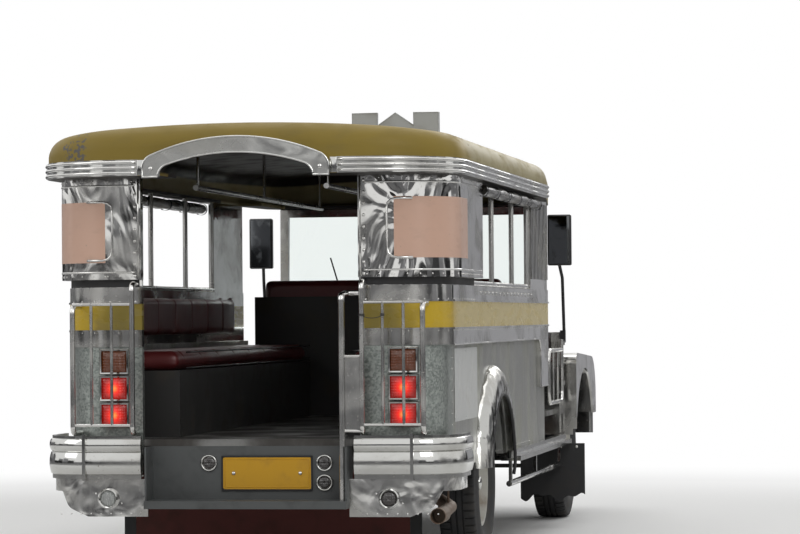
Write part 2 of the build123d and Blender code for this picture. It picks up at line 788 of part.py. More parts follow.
VISOR_D = 40
with BuildPart() as rear_arch_visor:
    with BuildSketch(Plane.XZ.offset(-TAIL_Y - VISOR_D)):
        add(arch_mouth(ARCH_IN_HALF + ARCH_W, ARCH_IN_TOP_Z + ARCH_W, ROOF_Z - 8))
        add(arch_mouth(ARCH_IN_HALF, ARCH_IN_TOP_Z, ROOF_Z - 20), mode=Mode.SUBTRACT)
    extrude(amount=VISOR_D - SEAT_GAP)
keep(rear_arch_visor, "rear_arch_visor")

# Eave mouldings: three ribs along each side of the roof and round its rear corners.

EAVE_RIBS = 3
EAVE_PROUD = 11
RIB_BACK = 5
eave_pitch = (EAVE_TOP_Z - ROOF_Z) / EAVE_RIBS
VISOR_OUT = ARCH_IN_HALF + ARCH_W + 30
with BuildPart() as eave_mouldings:
    with BuildSketch(Plane.XY.offset(ROOF_Z)):
        add(
            side_wall(
                ROOF_HALF + RIB_BACK + SEAT_GAP,
                RIB_BACK,
                TAIL_Y + RIB_BACK + SEAT_GAP,
                ROOF_TAPER_Y,
                ROOF_CORNER + RIB_BACK,
                VISOR_OUT,
            )
        )
    extrude(amount=EAVE_TOP_Z - ROOF_Z)
    for i in range(EAVE_RIBS):
        with BuildSketch(Plane.XY.offset(ROOF_Z + (i + 0.15) * eave_pitch)):
            add(
                side_wall(
                    ROOF_HALF + EAVE_PROUD,
                    EAVE_PROUD - SEAT_GAP,
                    TAIL_Y + EAVE_PROUD,
                    ROOF_TAPER_Y,
                    ROOF_CORNER + EAVE_PROUD,
                    VISOR_OUT,
                )
            )
        extrude(amount=eave_pitch * 0.7)
    mirror(about=Plane.YZ)
keep(eave_mouldings, "eave_mouldings")

# Side window bars: a tube along each sill and an upright at every window.
# Inside, a hand rail hangs under the roof over each bench's edge.

BAR_D = 25
BAR_X = BELT_HALF - WALL / 2 - 5
BAR_YS = [WINDOW_REAR_Y - 30, 1120, 380, WINDOW_FRONT_Y + 30]
SILL_TUBE_Z = SILL_Z + BAR_D / 2 + SEAT_GAP
CEILING_X = 300
CEILING_Z = 1775
CEILING_REAR_Y = 2500
CEILING_FRONT_Y = -500
HANGER_D = 14
HANGER_YS = [CEILING_FRONT_Y + 50, 1000, CEILING_REAR_Y - 50]
with BuildPart() as ceiling:
    add(rod((CEILING_X, CEILING_FRONT_Y, CEILING_Z), (CEILING_X, CEILING_REAR_Y, CEILING_Z), BAR_D))
    for y in HANGER_YS:
        add(rod((CEILING_X, y, CEILING_Z), (CEILING_X, y, CROWN_Z), HANGER_D))
    add(roof_dome(ROOF_T + SEAT_GAP, CEILING_Z - BAR_D), mode=Mode.INTERSECT)
ceiling_rail = ceiling.part
with BuildPart() as window_bars:
    add(rod((BAR_X, WINDOW_FRONT_Y + SEAT_GAP, SILL_TUBE_Z), (BAR_X, WINDOW_REAR_Y - SEAT_GAP, SILL_TUBE_Z), BAR_D))
    for y in BAR_YS:
        add(rod((BAR_X, y, SILL_TUBE_Z), (BAR_X, y, ROOF_Z - SEAT_GAP), BAR_D))
    add(ceiling_rail)
    mirror(about=Plane.YZ)
keep(window_bars, "window_bars")

# Rolled side curtains, tied up under the eaves outside the window bars.

ROLL_D = 76
ROLL_X = BAR_X + BAR_D / 2 + ROLL_D / 2 + 2
ROLL_Z = ROOF_Z - ROLL_D / 2 - SEAT_GAP
with BuildPart() as rolled_curtains:
    add(rod((ROLL_X, WINDOW_FRONT_Y + 20, ROLL_Z), (ROLL_X, WINDOW_REAR_Y - 20, ROLL_Z), ROLL_D))
    mirror(about=Plane.YZ)
keep(rolled_curtains, "rolled_curtains")

# Rear bumper, one half on each side of the step, wrapping the corner.

BUMPER_REAR_Y = 2850
BUMPER_IN_X = 478
BUMPER_FRONT_Y = 2430
BUMPER_CORNER = 230
BUMPER_LOW_Z = 478
BUMPER_HIGH_Z = 668
BUMPER_WALL = 30
# the section's face: how far it stands back, and the height, with each bead's middle on its face
BUMPER_FLANGE = 14
BUMPER_BEADS = [
    # back and height where the bead starts, back and height at its middle, the same where it ends
    ((8, 500), (0, 548), (8, 594)),
    ((8, 602), (1, 628), (8, 652)),
]
STRAP_XS = [560, 690]
STRAP_COVER_X = 735
STRAP_COVER_W = 14
with BuildPart() as rear_bumper:
    with BuildSketch(Plane.YZ.offset(BUMPER_IN_X)):
        with BuildLine():
            face = [
                ThreePointArc(*[(BUMPER_REAR_Y - back, z) for back, z in bead]) for bead in BUMPER_BEADS
            ]
            back_y = BUMPER_REAR_Y - BUMPER_WALL
            flange_y = BUMPER_REAR_Y - BUMPER_FLANGE
            Polyline(
                face[0] @ 0,
                (flange_y, BUMPER_BEADS[0][0][1] - 4),
                (flange_y, BUMPER_LOW_Z),
                (back_y, BUMPER_LOW_Z),
                (back_y, BUMPER_HIGH_Z),
                (flange_y, BUMPER_HIGH_Z),
                (flange_y, BUMPER_BEADS[1][2][1] + 4),
                face[1] @ 1,
            )
            groove_z = (BUMPER_BEADS[0][2][1] + BUMPER_BEADS[1][0][1]) / 2
            Polyline(face[0] @ 1, (flange_y, groove_z), face[1] @ 0)
        make_face()
    with BuildLine() as bumper_path:
        FilletPolyline(
            (BUMPER_IN_X, BUMPER_REAR_Y, BUMPER_LOW_Z),
            (BUMPER_HALF, BUMPER_REAR_Y, BUMPER_LOW_Z),
            (BUMPER_HALF, BUMPER_FRONT_Y, BUMPER_LOW_Z),
            radius=BUMPER_CORNER,
        )
    sweep(path=bumper_path.line)
    for x in STRAP_XS:
        add(block(x - 20, x + 20, REAR_Y + SEAT_GAP, BUMPER_REAR_Y - BUMPER_WALL + 1, 560, 600))
    add(
        block(
            STRAP_COVER_X - STRAP_COVER_W / 2,
            STRAP_COVER_X + STRAP_COVER_W / 2,
            BUMPER_REAR_Y - BUMPER_WALL,
            BUMPER_REAR_Y + 5,
            BUMPER_LOW_Z - 6,
            BUMPER_HIGH_Z + 8,
        )
    )
    add(block(LOWER_HALF + SEAT_GAP, BUMPER_HALF - BUMPER_WALL + 1, 2450, 2490, 560, 600))
    mirror(about=Plane.YZ)
keep(rear_bumper, "rear_bumper")

# Aprons under the bumper, curved up at their outer lower corners.

APRON_HALF = BUMPER_HALF - 29
APRON_REAR_Y = 2820
APRON_Z = 312
APRON_WALL = 10
APRON_TOP_Z = BUMPER_LOW_Z
APRON_CUT_X = 720
APRON_CUT_R = 60
APRON_LAMP_X = 630
with BuildPart() as rear_aprons:
    with BuildSketch(Plane.XY.offset(APRON_Z)):
        add(side_wall(APRON_HALF, APRON_WALL, APRON_REAR_Y, 2440, 200, STEP_HALF + SEAT_GAP))
    extrude(amount=APRON_TOP_Z - APRON_Z)
    with BuildSketch(Plane.XZ.offset(-TAIL_Y)):
        with BuildLine():
            FilletPolyline(
                (APRON_CUT_X, APRON_Z - 1),
                (APRON_CUT_X + 100, APRON_Z + 40),
                (APRON_CUT_X + 135, APRON_Z + 110),
                (TAIL_Y, APRON_Z + 110),
                (TAIL_Y, APRON_Z - 1),
                radius=[0, APRON_CUT_R, 0, 0, 0],
                close=True,
            )
        make_face()
    extrude(amount=700, mode=Mode.SUBTRACT)
    mirror(about=Plane.YZ)
keep(rear_aprons, "rear_aprons")

APRON_LAMP_R = 46
APRON_LAMP_Z = 392
APRON_LAMP_D = 26

# Rear lamps: three stacked lenses on each corner, amber over two red, and a round lamp on each apron.

LAMP_X = {1: 612, -1: 688}
LAMP_W = 134
LAMP_H = 116
LAMP_D = 40
LAMP_LOW_Z = 700
LAMP_PITCH = 119
LAMP_ROWS = 3
lamp_seat = (
    LOWER_HALF + SEAT_GAP,
    LOWER_CORNER / 2,
    REAR_Y + SEAT_GAP,
    CAB_REAR_Y,
    LOWER_CORNER + SEAT_GAP,
    0,
)
with BuildPart() as rear_lamps:
    for side, lamp_x in LAMP_X.items():
        for row in range(LAMP_ROWS):
            with BuildSketch(Plane.XZ.offset(-REAR_Y - LAMP_D)):
                with Locations((side * lamp_x, LAMP_LOW_Z + LAMP_H / 2 + row * LAMP_PITCH)):
                    RectangleRounded(LAMP_W, LAMP_H, 12)
            extrude(amount=LAMP_D + 2 * WALL)
    fillet(rear_lamps.edges().group_by(Axis.Y)[-1], 8)
    with BuildSketch(Plane.XY.offset(LOWER_BODY_Z)):
        add(side_wall(*lamp_seat))
        mirror(about=Plane.YZ)
    extrude(amount=BELT_HALF, mode=Mode.SUBTRACT)
    for side in (-1, 1):
        with BuildSketch(Plane.XZ.offset(-APRON_REAR_Y - APRON_LAMP_D)):
            with Locations((side * APRON_LAMP_X, APRON_LAMP_Z)):
                Circle(APRON_LAMP_R)
        extrude(amount=APRON_LAMP_D - SEAT_GAP)
    fillet(rear_lamps.edges().group_by(Axis.Y)[-1], 10)
keep(rear_lamps, "rear_lamps")

# Lamp guards: a cage of tubes over each rear corner, standing off the panels.
# A grab rail runs from the doorway's right jamb down to the step.

GUARD_Y = 2838
GRAB_X = -428
GRAB_Y = 2850
GRAB_D = 28
GRAB_TOP_Z = 1290
GUARD_TUBE = 24
GUARD_BAR = 14
GUARD_XS = [515, 608, 700, 785]
GUARD_LOW_Z = 715
GUARD_HIGH_Z = 1262
GUARD_POST_LOW_Z = 680
GUARD_POST_HIGH_Z = 1340
JAMB_PLATE_LOW_Z = 688
JAMB_PLATE_HIGH_Z = 1014
GUARD_POSTS = [
    # across, height of the top, depth of the wall behind its foot and behind its top
    (GUARD_XS[0], GUARD_POST_HIGH_Z, REAR_Y, REAR_Y),
    (GUARD_XS[-1], GUARD_HIGH_Z - 20, REAR_Y - 52, REAR_Y - 38),
]
with BuildPart() as lamp_guards:
    for x, top_z, foot_y, head_y in GUARD_POSTS:
        add(
            tube(
                [
                    (x, foot_y + SEAT_GAP, GUARD_POST_LOW_Z),
                    (x, GUARD_Y, GUARD_POST_LOW_Z),
                    (x, GUARD_Y, top_z),
                    (x, head_y + SEAT_GAP, top_z),
                ],
                GUARD_TUBE,
                30,
            )
        )
    for x in GUARD_XS[1:-1]:
        add(rod((x, GUARD_Y, GUARD_LOW_Z), (x, GUARD_Y, GUARD_HIGH_Z - 5), GUARD_BAR))
    for z in (GUARD_LOW_Z, GUARD_HIGH_Z - 12):
        add(rod((GUARD_XS[0], GUARD_Y, z), (GUARD_XS[-1], GUARD_Y, z), GUARD_BAR))
    mirror(about=Plane.YZ)
    post_x = -GUARD_XS[0]
    for z in (JAMB_PLATE_LOW_Z, JAMB_PLATE_HIGH_Z):
        add(rod((post_x, GUARD_Y, z), (GRAB_X, GRAB_Y, z), GUARD_BAR))
    add(block(post_x, GRAB_X, GUARD_Y + 4, GUARD_Y + 8, JAMB_PLATE_LOW_Z, JAMB_PLATE_HIGH_Z))
    add(
        tube(
            [
                (-MOUTH_HALF + SEAT_GAP, REAR_Y - WALL / 2, GRAB_TOP_Z),
                (GRAB_X, REAR_Y - WALL / 2, GRAB_TOP_Z),
                (GRAB_X, GRAB_Y, GRAB_TOP_Z - 10),
                (GRAB_X, GRAB_Y, STEP_Z + SEAT_GAP),
            ],
            GRAB_D,
            20,
        )
    )
keep(lamp_guards, "lamp_guards")

# Bulged rear wheel covers, a flared skin round each arch, and the stepped sills with their lower rails.

BULGE_R = 570
BULGE_PROUD = 66
BULGE_TAPER = 50
BULGE_SKIN = 12
BULGE_EDGE_R = 22
BULGE_LOW_Z = LOWER_BODY_Z - 30
with BuildPart() as rear_fenders:
    with BuildSketch(Plane.YZ.offset(LOWER_HALF + SEAT_GAP)):
        with Locations((REAR_AXLE_Y, WHEEL_R)):
            Circle(BULGE_R)
    extrude(amount=BULGE_PROUD, taper=BULGE_TAPER)
    fillet(rear_fenders.edges().group_by(Axis.X)[-1], BULGE_EDGE_R)
    with BuildSketch(Plane.YZ.offset(LOWER_HALF)):
        with Locations((REAR_AXLE_Y, WHEEL_R)):
            Circle(BULGE_R - BULGE_SKIN)
    extrude(amount=BULGE_PROUD - BULGE_SKIN, taper=BULGE_TAPER, mode=Mode.SUBTRACT)
    with BuildSketch(Plane.YZ.offset(LOWER_HALF)):
        with Locations((REAR_AXLE_Y, WHEEL_R)):
            Circle(ARCH_R)
    extrude(amount=2 * BULGE_PROUD, mode=Mode.SUBTRACT)
    split(bisect_by=Plane.XY.offset(BULGE_LOW_Z), keep=Keep.TOP)
    mirror(about=Plane.YZ)
keep(rear_fenders, "rear_fenders")

SILL_STEPS = [
    # bottom, top, outer half-width
    (455, 480, LOWER_HALF + 66),
    (480, 510, LOWER_HALF + 34),
]
LOWER_RAIL_Z = 340
LOWER_RAIL_X = LOWER_HALF + 5
LOWER_RAIL_D = 30
HANGER_W = 16
HANGER_L = 30
SILL_REAR_Y = 560
SILL_IN = LOWER_HALF - WALL
with BuildPart() as running_boards:
    add(block(SILL_IN, SILL_STEPS[0][2], COWL_Y, SILL_REAR_Y, SILL_STEPS[0][0], SILL_STEPS[0][1]))
    add(
        block(
            LOWER_HALF + SEAT_GAP,
            SILL_STEPS[1][2],
            COWL_Y,
            SILL_REAR_Y,
            SILL_STEPS[1][0] - 1,
            SILL_STEPS[1][1],
        )
    )
    rail_front = (LOWER_RAIL_X, COWL_Y + 40, LOWER_RAIL_Z)
    add(rod(rail_front, (LOWER_RAIL_X, SILL_REAR_Y, LOWER_RAIL_Z), LOWER_RAIL_D))
    for y in (SILL_REAR_Y - 60, -500, COWL_Y + 100):
        add(
            block(
                LOWER_RAIL_X - HANGER_W / 2,
                LOWER_RAIL_X + HANGER_W / 2,
                y - HANGER_L / 2,
                y + HANGER_L / 2,
                LOWER_RAIL_Z,
                SILL_STEPS[0][0] + 5,
            )
        )
    for y in (SILL_YS[-1], SILL_YS[-2], SILL_YS[-3]):
        add(block(LOWER_HALF - WALL - 60, SILL_IN + 5, y - 25, y + 25, SILL_STEPS[0][0], SILL_STEPS[0][1]))
        add(
            block(
                LOWER_HALF - WALL - 60,
                LOWER_HALF - WALL - 30,
                y - 25,
                y + 25,
                SILL_STEPS[0][0],
                RAIL_TOP_Z - SILL_H - SEAT_GAP,
            )
        )
    mirror(about=Plane.YZ)
keep(running_boards, "running_boards")

# Cab floor sides, cowl, dash and windscreen.

CAB_SILL_Z = LOWER_BODY_Z
COWL_OUT = 1
CAB_HALF = LOWER_HALF + COWL_OUT
COWL_TOP_Z = 1090
HINGE_H = 24
HINGE_WALL = 8
HINGE_GAP = 1
DOOR_X = 868
DOOR_TUBE = 26
DOOR_HINGE_Y = COWL_Y + 75
DOOR_LOW_Z = 700
DOOR_TOP_Z = 990
HINGE_ZS = [DOOR_LOW_Z + 100, DOOR_TOP_Z + 38]

# The steering wheel's hub and the line of its column, down to the cowl
WHEEL_X = 380
STEER_HUB = (WHEEL_X, -1350, 1130)
STEER_TILT = 38
COLUMN_D = 44
COLUMN_GAP = 21
STEER_DIR = (0, math.cos(math.radians(STEER_TILT)), math.sin(math.radians(STEER_TILT)))
column_run = (STEER_HUB[1] - COWL_Y) / STEER_DIR[1] - COLUMN_D / 2
COLUMN_TOP = tuple(Vector(*STEER_HUB) - Vector(*STEER_DIR) * COLUMN_GAP)
COLUMN_END = tuple(Vector(*STEER_HUB) - Vector(*STEER_DIR) * column_run)
COWL_FRONT_Y = COWL_Y - 90
DASH_Y = COWL_Y + 150
HOOD_REAR_Y = COWL_FRONT_Y - RUN_GAP
HOOD_TOP_REAR_Z = 1085
HOOD_HINGE_X = 240
HOOD_HINGE_Y = COWL_FRONT_Y - 8
BARREL_R = 7
BARREL_L = 40
with BuildPart() as cowl:
    add(block(-CAB_HALF, CAB_HALF, COWL_FRONT_Y, COWL_Y - SEAT_GAP, RAIL_TOP_Z, COWL_TOP_Z))
    add(block(-FLOOR_HALF, FLOOR_HALF, COWL_FRONT_Y + SHEET, COWL_Y - SHEET, RAIL_TOP_Z - 5, COWL_TOP_Z - SHEET), mode=Mode.SUBTRACT)
    add(block(-CAB_HALF + 30, CAB_HALF - 30, COWL_Y - SHEET, DASH_Y, COWL_TOP_Z - 190, COWL_TOP_Z))
    add(block(-CAB_HALF + 45, CAB_HALF - 45, COWL_Y, DASH_Y - 20, COWL_TOP_Z - 195, COWL_TOP_Z - 20), mode=Mode.SUBTRACT)
    for side in (-1, 1):
        low, high = sorted((side * CAB_HALF, side * (FLOOR_HALF + SEAT_GAP)))
        add(block(low, high, COWL_Y - 60, COWL_Y + 40, LOWER_BODY_Z + 15, COWL_TOP_Z))
        for z in HINGE_ZS:
            eye_x = side * DOOR_X
            low, high = sorted((side * (CAB_HALF - 20), eye_x))
            add(block(low, high, COWL_Y + 20, DOOR_HINGE_Y, z - HINGE_H / 2, z + HINGE_H / 2))
            with Locations((eye_x, DOOR_HINGE_Y, z)):
                Cylinder(DOOR_TUBE / 2 + HINGE_WALL, HINGE_H)
                Cylinder(DOOR_TUBE / 2 + HINGE_GAP, 3 * HINGE_H, mode=Mode.SUBTRACT)
        low, high = sorted((side * (HOOD_HINGE_X + SEAT_GAP), side * (HOOD_HINGE_X + BARREL_L)))
        add(rod((low, HOOD_HINGE_Y, HOOD_TOP_REAR_Z), (high, HOOD_HINGE_Y, HOOD_TOP_REAR_Z), 2 * BARREL_R))
        add(block(low, high, HOOD_HINGE_Y, COWL_FRONT_Y + 1, HOOD_TOP_REAR_Z - 4, HOOD_TOP_REAR_Z + 4))
    add(rod(COLUMN_TOP, COLUMN_END, COLUMN_D + 2 * SEAT_GAP), mode=Mode.SUBTRACT)
keep(cowl, "cowl")

# The windscreen leans back: its frame is drawn on its own plane.

SCREEN_FOOT = (0, COWL_Y - 30, COWL_TOP_Z)
SCREEN_LEAN = 14
SCREEN_HALF = 780
SCREEN_TOP_HALF = 740
SCREEN_H = (ROOF_Z - COWL_TOP_Z) / math.cos(math.radians(SCREEN_LEAN))
SCREEN_T = 45
FRAME_W = 45
screen_plane = Plane(
    origin=SCREEN_FOOT,
    x_dir=(1, 0, 0),
    z_dir=(0, math.cos(math.radians(SCREEN_LEAN)), -math.sin(math.radians(SCREEN_LEAN))),
)


def screen_outline(inset):
    """The windscreen's outline, a little narrower at the top."""
    with BuildSketch() as outline:
        with BuildLine():
            Polyline(
                (SCREEN_HALF - inset, -inset),
                (SCREEN_TOP_HALF - inset, -SCREEN_H + inset),
                (-SCREEN_TOP_HALF + inset, -SCREEN_H + inset),
                (-SCREEN_HALF + inset, -inset),
                close=True,
            )
        make_face()
    return outline.sketch


with BuildPart() as windshield_frame:
    with BuildSketch(screen_plane):
        add(screen_outline(0))
        add(screen_outline(FRAME_W), mode=Mode.SUBTRACT)
        with Locations((0, -SCREEN_H / 2)):
            Rectangle(FRAME_W, SCREEN_H - FRAME_W)
    extrude(amount=SCREEN_T / 2, both=True)
    split(bisect_by=Plane.XY.offset(COWL_TOP_Z + SEAT_GAP), keep=Keep.TOP)
    split(bisect_by=Plane.XY.offset(ROOF_Z - SEAT_GAP), keep=Keep.BOTTOM)
keep(windshield_frame, "windshield_frame")

GLASS_T = 6
with BuildPart() as windshield_glass:
    with BuildSketch(screen_plane):
        add(screen_outline(FRAME_W + SEAT_GAP))
        with Locations((0, -SCREEN_H / 2)):
            Rectangle(FRAME_W + 2 * SEAT_GAP, SCREEN_H, mode=Mode.SUBTRACT)
    extrude(amount=GLASS_T / 2, both=True)
keep(windshield_glass, "windshield_glass")

# Hood: a tapered lid with turned-down sides, hinged at the cowl by two barrels.

HOOD_FRONT_Y = GRILLE_Y + 60
HOOD_REAR_HALF = 480
HOOD_FRONT_HALF = 400
HOOD_CROWN = 30
HOOD_SIDE = 55
HOOD_TOP_FRONT_Z = 1035
HOOD_T = 8


def hood_section(half, top_z, inset):
    """Cross-section of the hood: a crowned top over straight sides."""
    with BuildSketch() as section:
        with BuildLine():
            arc = ThreePointArc(
                (-half + inset, top_z - HOOD_CROWN - inset),
                (0, top_z - inset),
                (half - inset, top_z - HOOD_CROWN - inset),
            )
            base = top_z - HOOD_CROWN - HOOD_SIDE - (1 if inset else 0)
            Polyline(arc @ 1, (half - inset, base), (-half + inset, base), arc @ 0)
        make_face()
    return section.sketch


with BuildPart() as hood:
    for inset, mode in ((0, Mode.ADD), (HOOD_T, Mode.SUBTRACT)):
        with BuildSketch(Plane.XZ.offset(-HOOD_REAR_Y)):
            add(hood_section(HOOD_REAR_HALF, HOOD_TOP_REAR_Z, inset))
        with BuildSketch(Plane.XZ.offset(-HOOD_FRONT_Y)):
            add(hood_section(HOOD_FRONT_HALF, HOOD_TOP_FRONT_Z, inset))
        loft(mode=mode)
    for side in (-1, 1):
        barrel_out = (side * HOOD_HINGE_X, HOOD_HINGE_Y, HOOD_TOP_REAR_Z)
        barrel_in = (side * (HOOD_HINGE_X - BARREL_L), HOOD_HINGE_Y, HOOD_TOP_REAR_Z)
        add(rod(barrel_in, barrel_out, 2 * BARREL_R))
keep(hood, "hood")

# Grille: a flat chromed panel with upright slots, and lamps beside it.

GRILLE_HALF = 420
GRILLE_Z0 = RAIL_TOP_Z + SEAT_GAP
GRILLE_Z1 = 990
GRILLE_T = 35
SLOT_COUNT = 9
SLOT_W = 38
SLOT_PITCH = 70
SLOT_H = 300
with BuildPart() as grille:
    with BuildSketch(Plane.XZ.offset(-GRILLE_Y)):
        with Locations((0, (GRILLE_Z0 + GRILLE_Z1) / 2)):
            Rectangle(2 * GRILLE_HALF, GRILLE_Z1 - GRILLE_Z0)
            with GridLocations(SLOT_PITCH, 1, SLOT_COUNT, 1):
                SlotOverall(SLOT_H, SLOT_W, rotation=90, mode=Mode.SUBTRACT)
    extrude(amount=-GRILLE_T)
keep(grille, "grille")

# Front fenders: flat tops turned down at the outside, a rounded nose and a rear wall.

FENDER_IN = 425
FENDER_REAR_Y = COWL_FRONT_Y - SEAT_GAP
FENDER_TOP_Z = 972
FENDER_DROP = 40
FENDER_T = 12
FENDER_LIP = 110
FENDER_NOSE_Y = -2830
FENDER_NOSE_Z = 600
NOSE_R = 230


def fender_profile(drop):
    """Side view of a fender: rear wall, level top and a rounded nose, drawn in by drop."""
    with BuildSketch() as profile:
        with BuildLine():
            FilletPolyline(
                (FENDER_REAR_Y - drop, LOWER_BODY_Z),
                (FENDER_REAR_Y - drop, FENDER_TOP_Z - drop),
                (FENDER_NOSE_Y + drop, FENDER_TOP_Z - FENDER_DROP - drop),
                (FENDER_NOSE_Y + drop, FENDER_NOSE_Z),
                (FENDER_NOSE_Y + 3 * drop, FENDER_NOSE_Z - 400),
                (FENDER_REAR_Y - 3 * drop, FENDER_NOSE_Z - 400),
                radius=[0, 60 - drop, NOSE_R - drop, 0, 0, 0],
                close=True,
            )
        make_face()
    return profile.sketch


with BuildPart() as front_fenders:
    with BuildSketch(Plane.YZ.offset(FENDER_IN)):
        add(fender_profile(0))
    extrude(amount=FENDER_HALF - FENDER_IN)
    with BuildSketch(Plane.YZ.offset(FENDER_IN - 1)):
        add(fender_profile(FENDER_T))
    extrude(amount=FENDER_HALF - FENDER_IN - FENDER_T + 1, mode=Mode.SUBTRACT)
    add(
        block(
            FENDER_IN - 1,
            FENDER_HALF + 1,
            FENDER_NOSE_Y - 1,
            FENDER_REAR_Y - FENDER_T,
            0,
            FENDER_NOSE_Z,
        ),
        mode=Mode.SUBTRACT,
    )
    add(block(FENDER_IN - 1, FENDER_HALF + 1, COWL_Y - 200, COWL_Y, 0, LOWER_BODY_Z), mode=Mode.SUBTRACT)
    with BuildSketch(Plane.YZ.offset(FENDER_HALF - 2 * FENDER_T)):
        with Locations((FRONT_AXLE_Y, WHEEL_R + 20)):
            Circle(480)
    extrude(amount=3 * FENDER_T, mode=Mode.SUBTRACT)
    mirror(about=Plane.YZ)
keep(front_fenders, "front_fenders")

HEADLAMP_X = 600
HEADLAMP_Z = 725
HEADLAMP_R = 95
HEADLAMP_D = 70
MARKER_X = 700
MARKER_Y = -2100
MARKER_R = 45
MARKER_STEM = 40
fender_run = (MARKER_Y - FENDER_REAR_Y) / (FENDER_NOSE_Y - FENDER_REAR_Y)
MARKER_FOOT_Z = FENDER_TOP_Z - FENDER_DROP * fender_run + 1
with BuildPart() as front_lamps:
    for side in (-1, 1):
        with BuildSketch(Plane.XZ.offset(-FENDER_NOSE_Y + SEAT_GAP)):
            with Locations((side * HEADLAMP_X, HEADLAMP_Z)):
                Circle(HEADLAMP_R)
        extrude(amount=HEADLAMP_D)
    fillet(front_lamps.edges().group_by(Axis.Y)[0], 30)
    for side in (-1, 1):
        x = side * MARKER_X
        add(rod((x, MARKER_Y, MARKER_FOOT_Z), (x, MARKER_Y, MARKER_FOOT_Z + MARKER_STEM), 20))
        marker_z = MARKER_FOOT_Z + MARKER_STEM + MARKER_R - 5
        add(rod((x, MARKER_Y - MARKER_R, marker_z), (x, MARKER_Y + MARKER_R, marker_z), 2 * MARKER_R))
keep(front_lamps, "front_lamps")

# Front bumper on the rail ends.

FRONT_BUMPER_HALF = 900
FRONT_BUMPER_Z = 470
FRONT_BUMPER_H = 150
TOW_Y = NOSE_Y + 90
TOW_Z = 440
TOW_R = 30
TOW_BORE_R = 15
TOW_T = 20
with BuildPart() as front_bumper:
    add(
        block(
            -FRONT_BUMPER_HALF,
            FRONT_BUMPER_HALF,
            NOSE_Y,
            NOSE_Y + 50,
            FRONT_BUMPER_Z,
            FRONT_BUMPER_Z + FRONT_BUMPER_H,
        )
    )
    fillet(front_bumper.edges().filter_by(Axis.Z), 20)
    for side in (-1, 1):
        x = side * RAIL_X
        add(block(x - 25, x + 25, NOSE_Y + 45, RAIL_FRONT_Y - SEAT_GAP, 510, 600))
        add(block(x - TOW_T / 2, x + TOW_T / 2, TOW_Y - TOW_R, TOW_Y + TOW_R, TOW_Z, 515))
        with BuildSketch(Plane.YZ.offset(x - TOW_T / 2)):
            with Locations((TOW_Y, TOW_Z)):
                Circle(TOW_R)
        extrude(amount=TOW_T)
        with BuildSketch(Plane.YZ.offset(x - TOW_T / 2)):
            with Locations((TOW_Y, TOW_Z)):
                Circle(TOW_BORE_R)
        extrude(amount=TOW_T, mode=Mode.SUBTRACT)
keep(front_bumper, "front_bumper")

# Mirrors on their arms.

MIRROR_Y = -1600
MIRROR_IN = 70
MIRROR_W = 155
MIRROR_X0 = CAB_HALF - MIRROR_IN
MIRROR_X1 = MIRROR_X0 + MIRROR_W
MIRROR_Z0 = 1470
MIRROR_Z1 = 1760
MIRROR_D = 45
with BuildPart() as mirrors:
    add(block(MIRROR_X0 + 20, MIRROR_X1, MIRROR_Y - MIRROR_D / 2, MIRROR_Y + MIRROR_D / 2, MIRROR_Z0, MIRROR_Z1))
    fillet(mirrors.edges(), 10)
    add(
        tube(
            [
                (CAB_HALF + 22, COWL_Y - 40, COWL_TOP_Z + 6),
                (CAB_HALF + 22, COWL_Y + 20, 1400),
                ((MIRROR_X0 + MIRROR_X1) / 2, MIRROR_Y, MIRROR_Z0 + 40),
            ],
            18,
            30,
        )
    )
    add(
        block(
            CAB_HALF + SEAT_GAP,
            CAB_HALF + 30,
            COWL_Y - 59,
            COWL_Y - 20,
            COWL_TOP_Z - 60,
            COWL_TOP_Z + 10,
        )
    )
    mirror(about=Plane.YZ)
keep(mirrors, "mirrors")

# Sign board over the front of the roof, with a peaked middle.

SIGN_Y = -1150
SIGN_HALF = 245
SIGN_H = 290
SIGN_T = 30
SIGN_FOOT_Z = CROWN_Z - 20
SIGN_TOP_Z = CROWN_Z + SIGN_H
SIGN_TAB_W = 0.29 * 2 * SIGN_HALF
SIGN_NOTCH = 0.25 * SIGN_H
with BuildPart() as signboard:
    with BuildSketch(Plane.XZ.offset(-SIGN_Y)):
        with BuildLine():
            Polyline(
                (-SIGN_HALF, SIGN_FOOT_Z),
                (-SIGN_HALF, SIGN_TOP_Z),
                (-SIGN_HALF + SIGN_TAB_W, SIGN_TOP_Z),
                (-SIGN_HALF + SIGN_TAB_W, SIGN_TOP_Z - SIGN_NOTCH),
                (0, SIGN_TOP_Z),
                (SIGN_HALF - SIGN_TAB_W, SIGN_TOP_Z - SIGN_NOTCH),
                (SIGN_HALF - SIGN_TAB_W, SIGN_TOP_Z),
                (SIGN_HALF, SIGN_TOP_Z),
                (SIGN_HALF, SIGN_FOOT_Z),
                close=True,
            )
        make_face()
    extrude(amount=SIGN_T)
    add(roof_dome(0, ROOF_Z), mode=Mode.SUBTRACT)
keep(signboard, "signboard")

# Half doors: a bent tube frame with two uprights, hung on the cowl's post.

